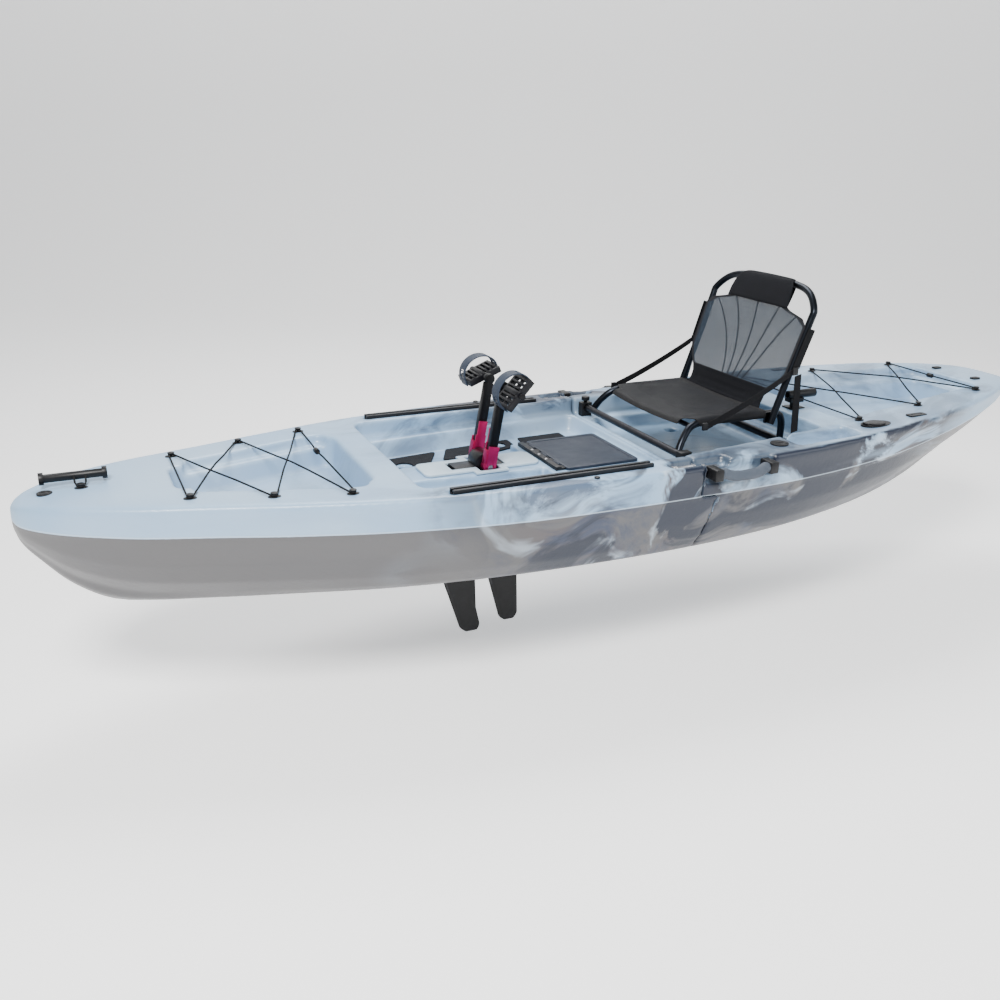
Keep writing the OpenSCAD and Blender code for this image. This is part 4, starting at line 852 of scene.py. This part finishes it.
WEB = HALF + 42
HI = np.array([BACK_X + 168 * math.sin(LEAN), -WEB, BACK_Z + 168 * math.cos(LEAN)])
TOP = np.array([BACK_X + 300 * math.sin(LEAN), -WEB - 5, BACK_Z + 300 * math.cos(LEAN)])
STRAP_FRONT = np.array([BAR_X + 96, -WEB - 2, BAR_Z + 73])
STRAP_FOOT = np.array([512, -300, 331.5])
strap_meshes = []
for s in (1, -1):
    flip = np.array([1, s, 1])
    strap_meshes += [ribbon(STRAP_FRONT * flip, (HI - [10, 0, 4]) * flip, (4, 0, 12), 7),
                     ribbon((HI + [4, -1, 10]) * flip, TOP * flip, (12, 0, -4), -1),
                     ribbon((HI + [12, -4, -12]) * flip, STRAP_FOOT * flip, (12, 0, 3), 0)]
add_object("seat_straps_piece", join("seat_webbing", strap_meshes), MAT["webbing"], "seat_straps")

PAD_VOXEL = 0.0017
for pad in ("floor_pad_fore", "floor_pad_mid", "floor_pad_aft"):
    remeshed(pad, PAD_VOXEL)


def grip(s):
    """Carry grip: a bar whose radius swells and has shallow rings along its length."""
    mid = 212.0
    line = np.array([[131.8, 458, 296], [137, 458, 296], [144, 458, 296], [mid - 36, 467, 288],
                     [mid + 36, 467, 288], [280, 458, 296], [287, 458, 296], [292, 458, 296]],
                    float)
    path = curve_through(line * (1, s, 1), 14)
    u = np.linspace(0, 1, len(path))
    dip = np.clip(np.sin(u * 2 * np.pi * 9), 0, 1) * (np.abs(u - 0.5) < 0.3)
    r = 14.4 + 0.8 * np.sin(np.pi * u) - 0.9 * dip
    return tube("grip_tube", path * MM, r * MM)


add_object("handle_port_piece", grip(-1), MAT["grip"], "handle_port")
add_object("handle_starboard_piece", grip(1), MAT["grip"], "handle_starboard")

# %% [markdown]
# ## Fins and pedal straps
# A fin is a foil: chord and lean change along its height, thickness follows a rounded nose and a
# thin tail. A pedal strap is a moulded band over an ellipse, with ladder slots between its rails.

# %%
FIN_TOP, TIP_RAISE = -45.0, 22


def foil(x0, w0, reach, rake, w1):
    """Fin blade: the chord runs from the raked nose to the tail at height v, and the thickness
    has a square-root nose and a linear tail along the chord c."""
    top, tip = FIN_TOP, -26.0 - reach + TIP_RAISE
    v = np.linspace(0, 1, 60)[:, None]
    z = top + (tip - top) * v
    low = np.clip((v - 0.9) / 0.1, 0, 1)
    nose = x0 - 7 + rake * v + 16 * low**2
    knee = (top - tip - 80) / (top - tip)
    tail = np.interp(v, [0, knee, 1], [x0 + w0, x0 + w0 + 6, x0 + rake + w1]) - 14 * low**2
    a = np.linspace(0, 2 * np.pi, 64, endpoint=False)[None, :]
    c = (1 - np.cos(a)) / 2
    thick = (13.0 * (1.55 * np.sqrt(np.clip(c, 0, 1)) * (1 - c) + 0.14) * (1 - 0.35 * v)
             * np.sqrt(np.clip(1 - v**16, 0.03, 1)))
    rounded = np.clip(np.minimum(c, 1 - c) * 40, 0, 1) ** 0.5
    y = np.where(a < np.pi, 1, -1) * thick / 2 * rounded
    verts = np.stack([nose + (tail - nose) * c, y + 0 * v, z + 0 * c], -1)
    n, m = verts.shape[:2]
    return mesh_of("foil", verts.reshape(-1, 3) * MM, rings(n, m))


add_object("fin_front_piece", foil(-534, 120, 300, 84, 60), MAT["fin"], "fin_front")
add_object("fin_rear_piece", foil(-384, 112, 284, 66, 54), MAT["fin"], "fin_rear")


PEDAL_X, PEDAL_Y, PEDAL_Z = -349.95, 122, 491.62
BAND_THICK, BAND_EDGE = 0.0036, 0.0007


def pedal_band(node, s, pitch):
    """Ladder band: an ellipse arc across the pedal. In its two slotted stretches, three of every
    four cells of the middle column are left open."""
    half_l, rise = 52 + 2.4, 48.0
    arc = np.linspace(0, np.pi, 58)
    leg = np.linspace(-12, 6, 5)
    x = np.concatenate([np.full(5, half_l), half_l * np.cos(arc), np.full(5, -half_l)])
    z = np.concatenate([leg, 8 + rise * np.sin(arc), leg[::-1]])
    y = np.array([-21, -12, -11, 11, 12, 21.0])
    pts = np.stack([np.repeat(x, 6), np.tile(y, len(x)), np.repeat(z, 6)], -1)
    faces = []
    for k, quad in enumerate(grid_faces(len(x), len(y))):
        row, column = divmod(k, len(y) - 1)
        slotted = 5 < row < 17 or len(x) - 18 < row < len(x) - 6
        if not (column == 2 and slotted and row % 4 != 0):
            faces.append(quad)
    a = math.radians(pitch)
    turned = np.stack([pts[:, 0] * math.cos(a) - pts[:, 2] * math.sin(a), pts[:, 1],
                       pts[:, 0] * math.sin(a) + pts[:, 2] * math.cos(a)], -1)
    placed = (turned + (PEDAL_X, s * PEDAL_Y, PEDAL_Z)) * MM
    work = bpy.data.objects.new(node + "_soft", mesh_of("band", placed, faces))
    scene.collection.objects.link(work)
    thick = work.modifiers.new("Thick", "SOLIDIFY")
    thick.thickness, thick.offset = BAND_THICK, 0
    soft = work.modifiers.new("Bevel", "BEVEL")
    soft.width, soft.segments = BAND_EDGE, 2
    soft.limit_method, soft.angle_limit = "ANGLE", math.radians(50)
    mesh = apply_modifiers(work)
    tidy(mesh, 45.0)
    add_object(node + "_piece", mesh, MAT["strap"], node)


pedal_band("pedal_strap_port", -1, 48)
pedal_band("pedal_strap_starboard", 1, 22)

# %% [markdown]
# ## Hard parts
# Moulded and machined parts keep the frame's shape with their edges rounded. Cords and small
# fittings keep the frame's own mesh with a better finish.

# %%
SOFT_EDGES = {
    "drive_spine": 2.0, "drive_plate": 2.0, "drive_gears": 0.8,
    "crank_port": 1.6, "crank_starboard": 1.6,
    "crank_bracket_port": 1.2, "crank_bracket_starboard": 1.2,
    "pedal_port": 1.0, "pedal_starboard": 1.0,
    "hatch_lid": 1.6, "hatch_hinge_bar": 1.4, "hatch_studs": 0.8,
    "track_port": 0.7, "track_starboard": 0.7,
    "latch_bases": 0.5, "latch_lever_port": 0.6, "latch_lever_starboard": 0.6,
    "latch_keepers": 0.5, "handle_caps": 3.0,
    "seat_clamps": 2.5, "seat_knob": 1.6, "seat_buckles": 1.2,
    "drain_plug": 1.0, "bow_handle": 2.0, "flush_caps": 1.2,
    "accessory_plates": 1.0, "rod_bracket": 1.0,
    "holder_cap_port": 0.8, "holder_cap_starboard": 0.8,
    "gunwale_plugs": 1.0, "pad_eyes": 0.6, "cord_lock": 1.2,
}
for node, width in SOFT_EDGES.items():
    softened(node, width * MM)

for node, obj in frame["nodes"].items():
    if not obj.hide_render:
        obj.data.materials.clear()
        obj.data.materials.append(MAT[SLOT[node]])

# %% [markdown]

# %% [markdown]
# ## Floor, light and camera
# A pale floor just below the fins, large soft lamps, and the camera where the whole boat is seen
# from its port bow quarter.

# %%
FLOOR_DROP, FLOOR_HALF = 0.02, 24
AZIMUTH, ELEVATION, ROLL = math.radians(-24.69), math.radians(20.67), math.radians(1.0)
CAMERA_AT = (-1.517, -2.580, 1.195)
floor_z = cad_bounds[0][2] - FLOOR_DROP


def sweep_floor(near, far, rise, bend):
    """Floor that turns up into a wall: a line, a quarter circle and a line, swept sideways."""
    turn = np.linspace(0, np.pi / 2, 24)
    along = np.concatenate([[-near], far + bend * np.sin(turn), [far + bend]])
    up = np.concatenate([[0], bend * (1 - np.cos(turn)), [rise]])
    side = np.linspace(-FLOOR_HALF, FLOOR_HALF, 7)
    ahead = (-math.sin(AZIMUTH), math.cos(AZIMUTH))
    across = (math.cos(AZIMUTH), math.sin(AZIMUTH))
    a, s = along[:, None], side[None, :]
    verts = np.stack([a * ahead[0] + s * across[0], a * ahead[1] + s * across[1],
                      floor_z + up[:, None] + 0 * s], -1)
    return mesh_of("studio_floor", verts.reshape(-1, 3), grid_faces(len(along), len(side)), 180.0)


paper = Shade("studio_paper")
mottled = paper.noise(paper.at, 0.4, 2.0) * 0.1
paper.finish(paper.mix(mottled, rgb(0.93, 0.93, 0.93), rgb(0.89, 0.90, 0.91)), 0.95)
paper.feed(paper.bsdf.inputs["Emission Color"], rgb(1.0, 1.0, 1.0))
paper.feed(paper.bsdf.inputs["Emission Strength"], 0.42)
floor = bpy.data.objects.new("studio_floor", sweep_floor(12.0, 5.0, 14.0, 3.0))
scene.collection.objects.link(floor)
floor.data.materials.append(paper.mat)

world = bpy.data.worlds.new("studio")
scene.world = world
world.use_nodes = True
sky = world.node_tree.nodes["Background"].inputs
sky["Color"].default_value = (0.93, 0.96, 1.0, 1)
sky["Strength"].default_value = 0.36


def lamp(name, place, target, size, power, color=(1, 1, 1)):
    """A square soft lamp that looks at a target."""
    data = bpy.data.lights.new(name, "AREA")
    data.size, data.energy, data.color = size, power, color
    obj = bpy.data.objects.new(name, data)
    scene.collection.objects.link(obj)
    obj.location = place
    obj.rotation_euler = (Vector(target) - Vector(place)).to_track_quat("-Z", "Y").to_euler()


lamp("key", (-2.5, -3.0, 4.2), (0, 0, 0.2), 1.6, 520, (1.0, 0.99, 0.97))
lamp("fill", (3.2, -3.4, 2.2), (0.4, 0, 0.2), 3.0, 95, (0.95, 0.98, 1.0))
lamp("top", (0.5, 2.2, 4.5), (0, 0, 0.2), 2.4, 230)

back = Vector((math.sin(AZIMUTH) * math.cos(ELEVATION), -math.cos(AZIMUTH) * math.cos(ELEVATION),
               math.sin(ELEVATION)))
right = (-back).cross(Vector((0, 0, 1))).normalized()
up = right.cross(-back)
r_axis = math.cos(ROLL) * right + math.sin(ROLL) * up
u_axis = -math.sin(ROLL) * right + math.cos(ROLL) * up
lens = bpy.data.cameras.new("camera")
lens.sensor_width, lens.lens = 36.0, 35.9
camera = bpy.data.objects.new("camera", lens)
scene.collection.objects.link(camera)
turned = Matrix((r_axis, u_axis, back)).transposed().to_4x4()
camera.matrix_world = Matrix.Translation(CAMERA_AT) @ turned
scene.camera = camera
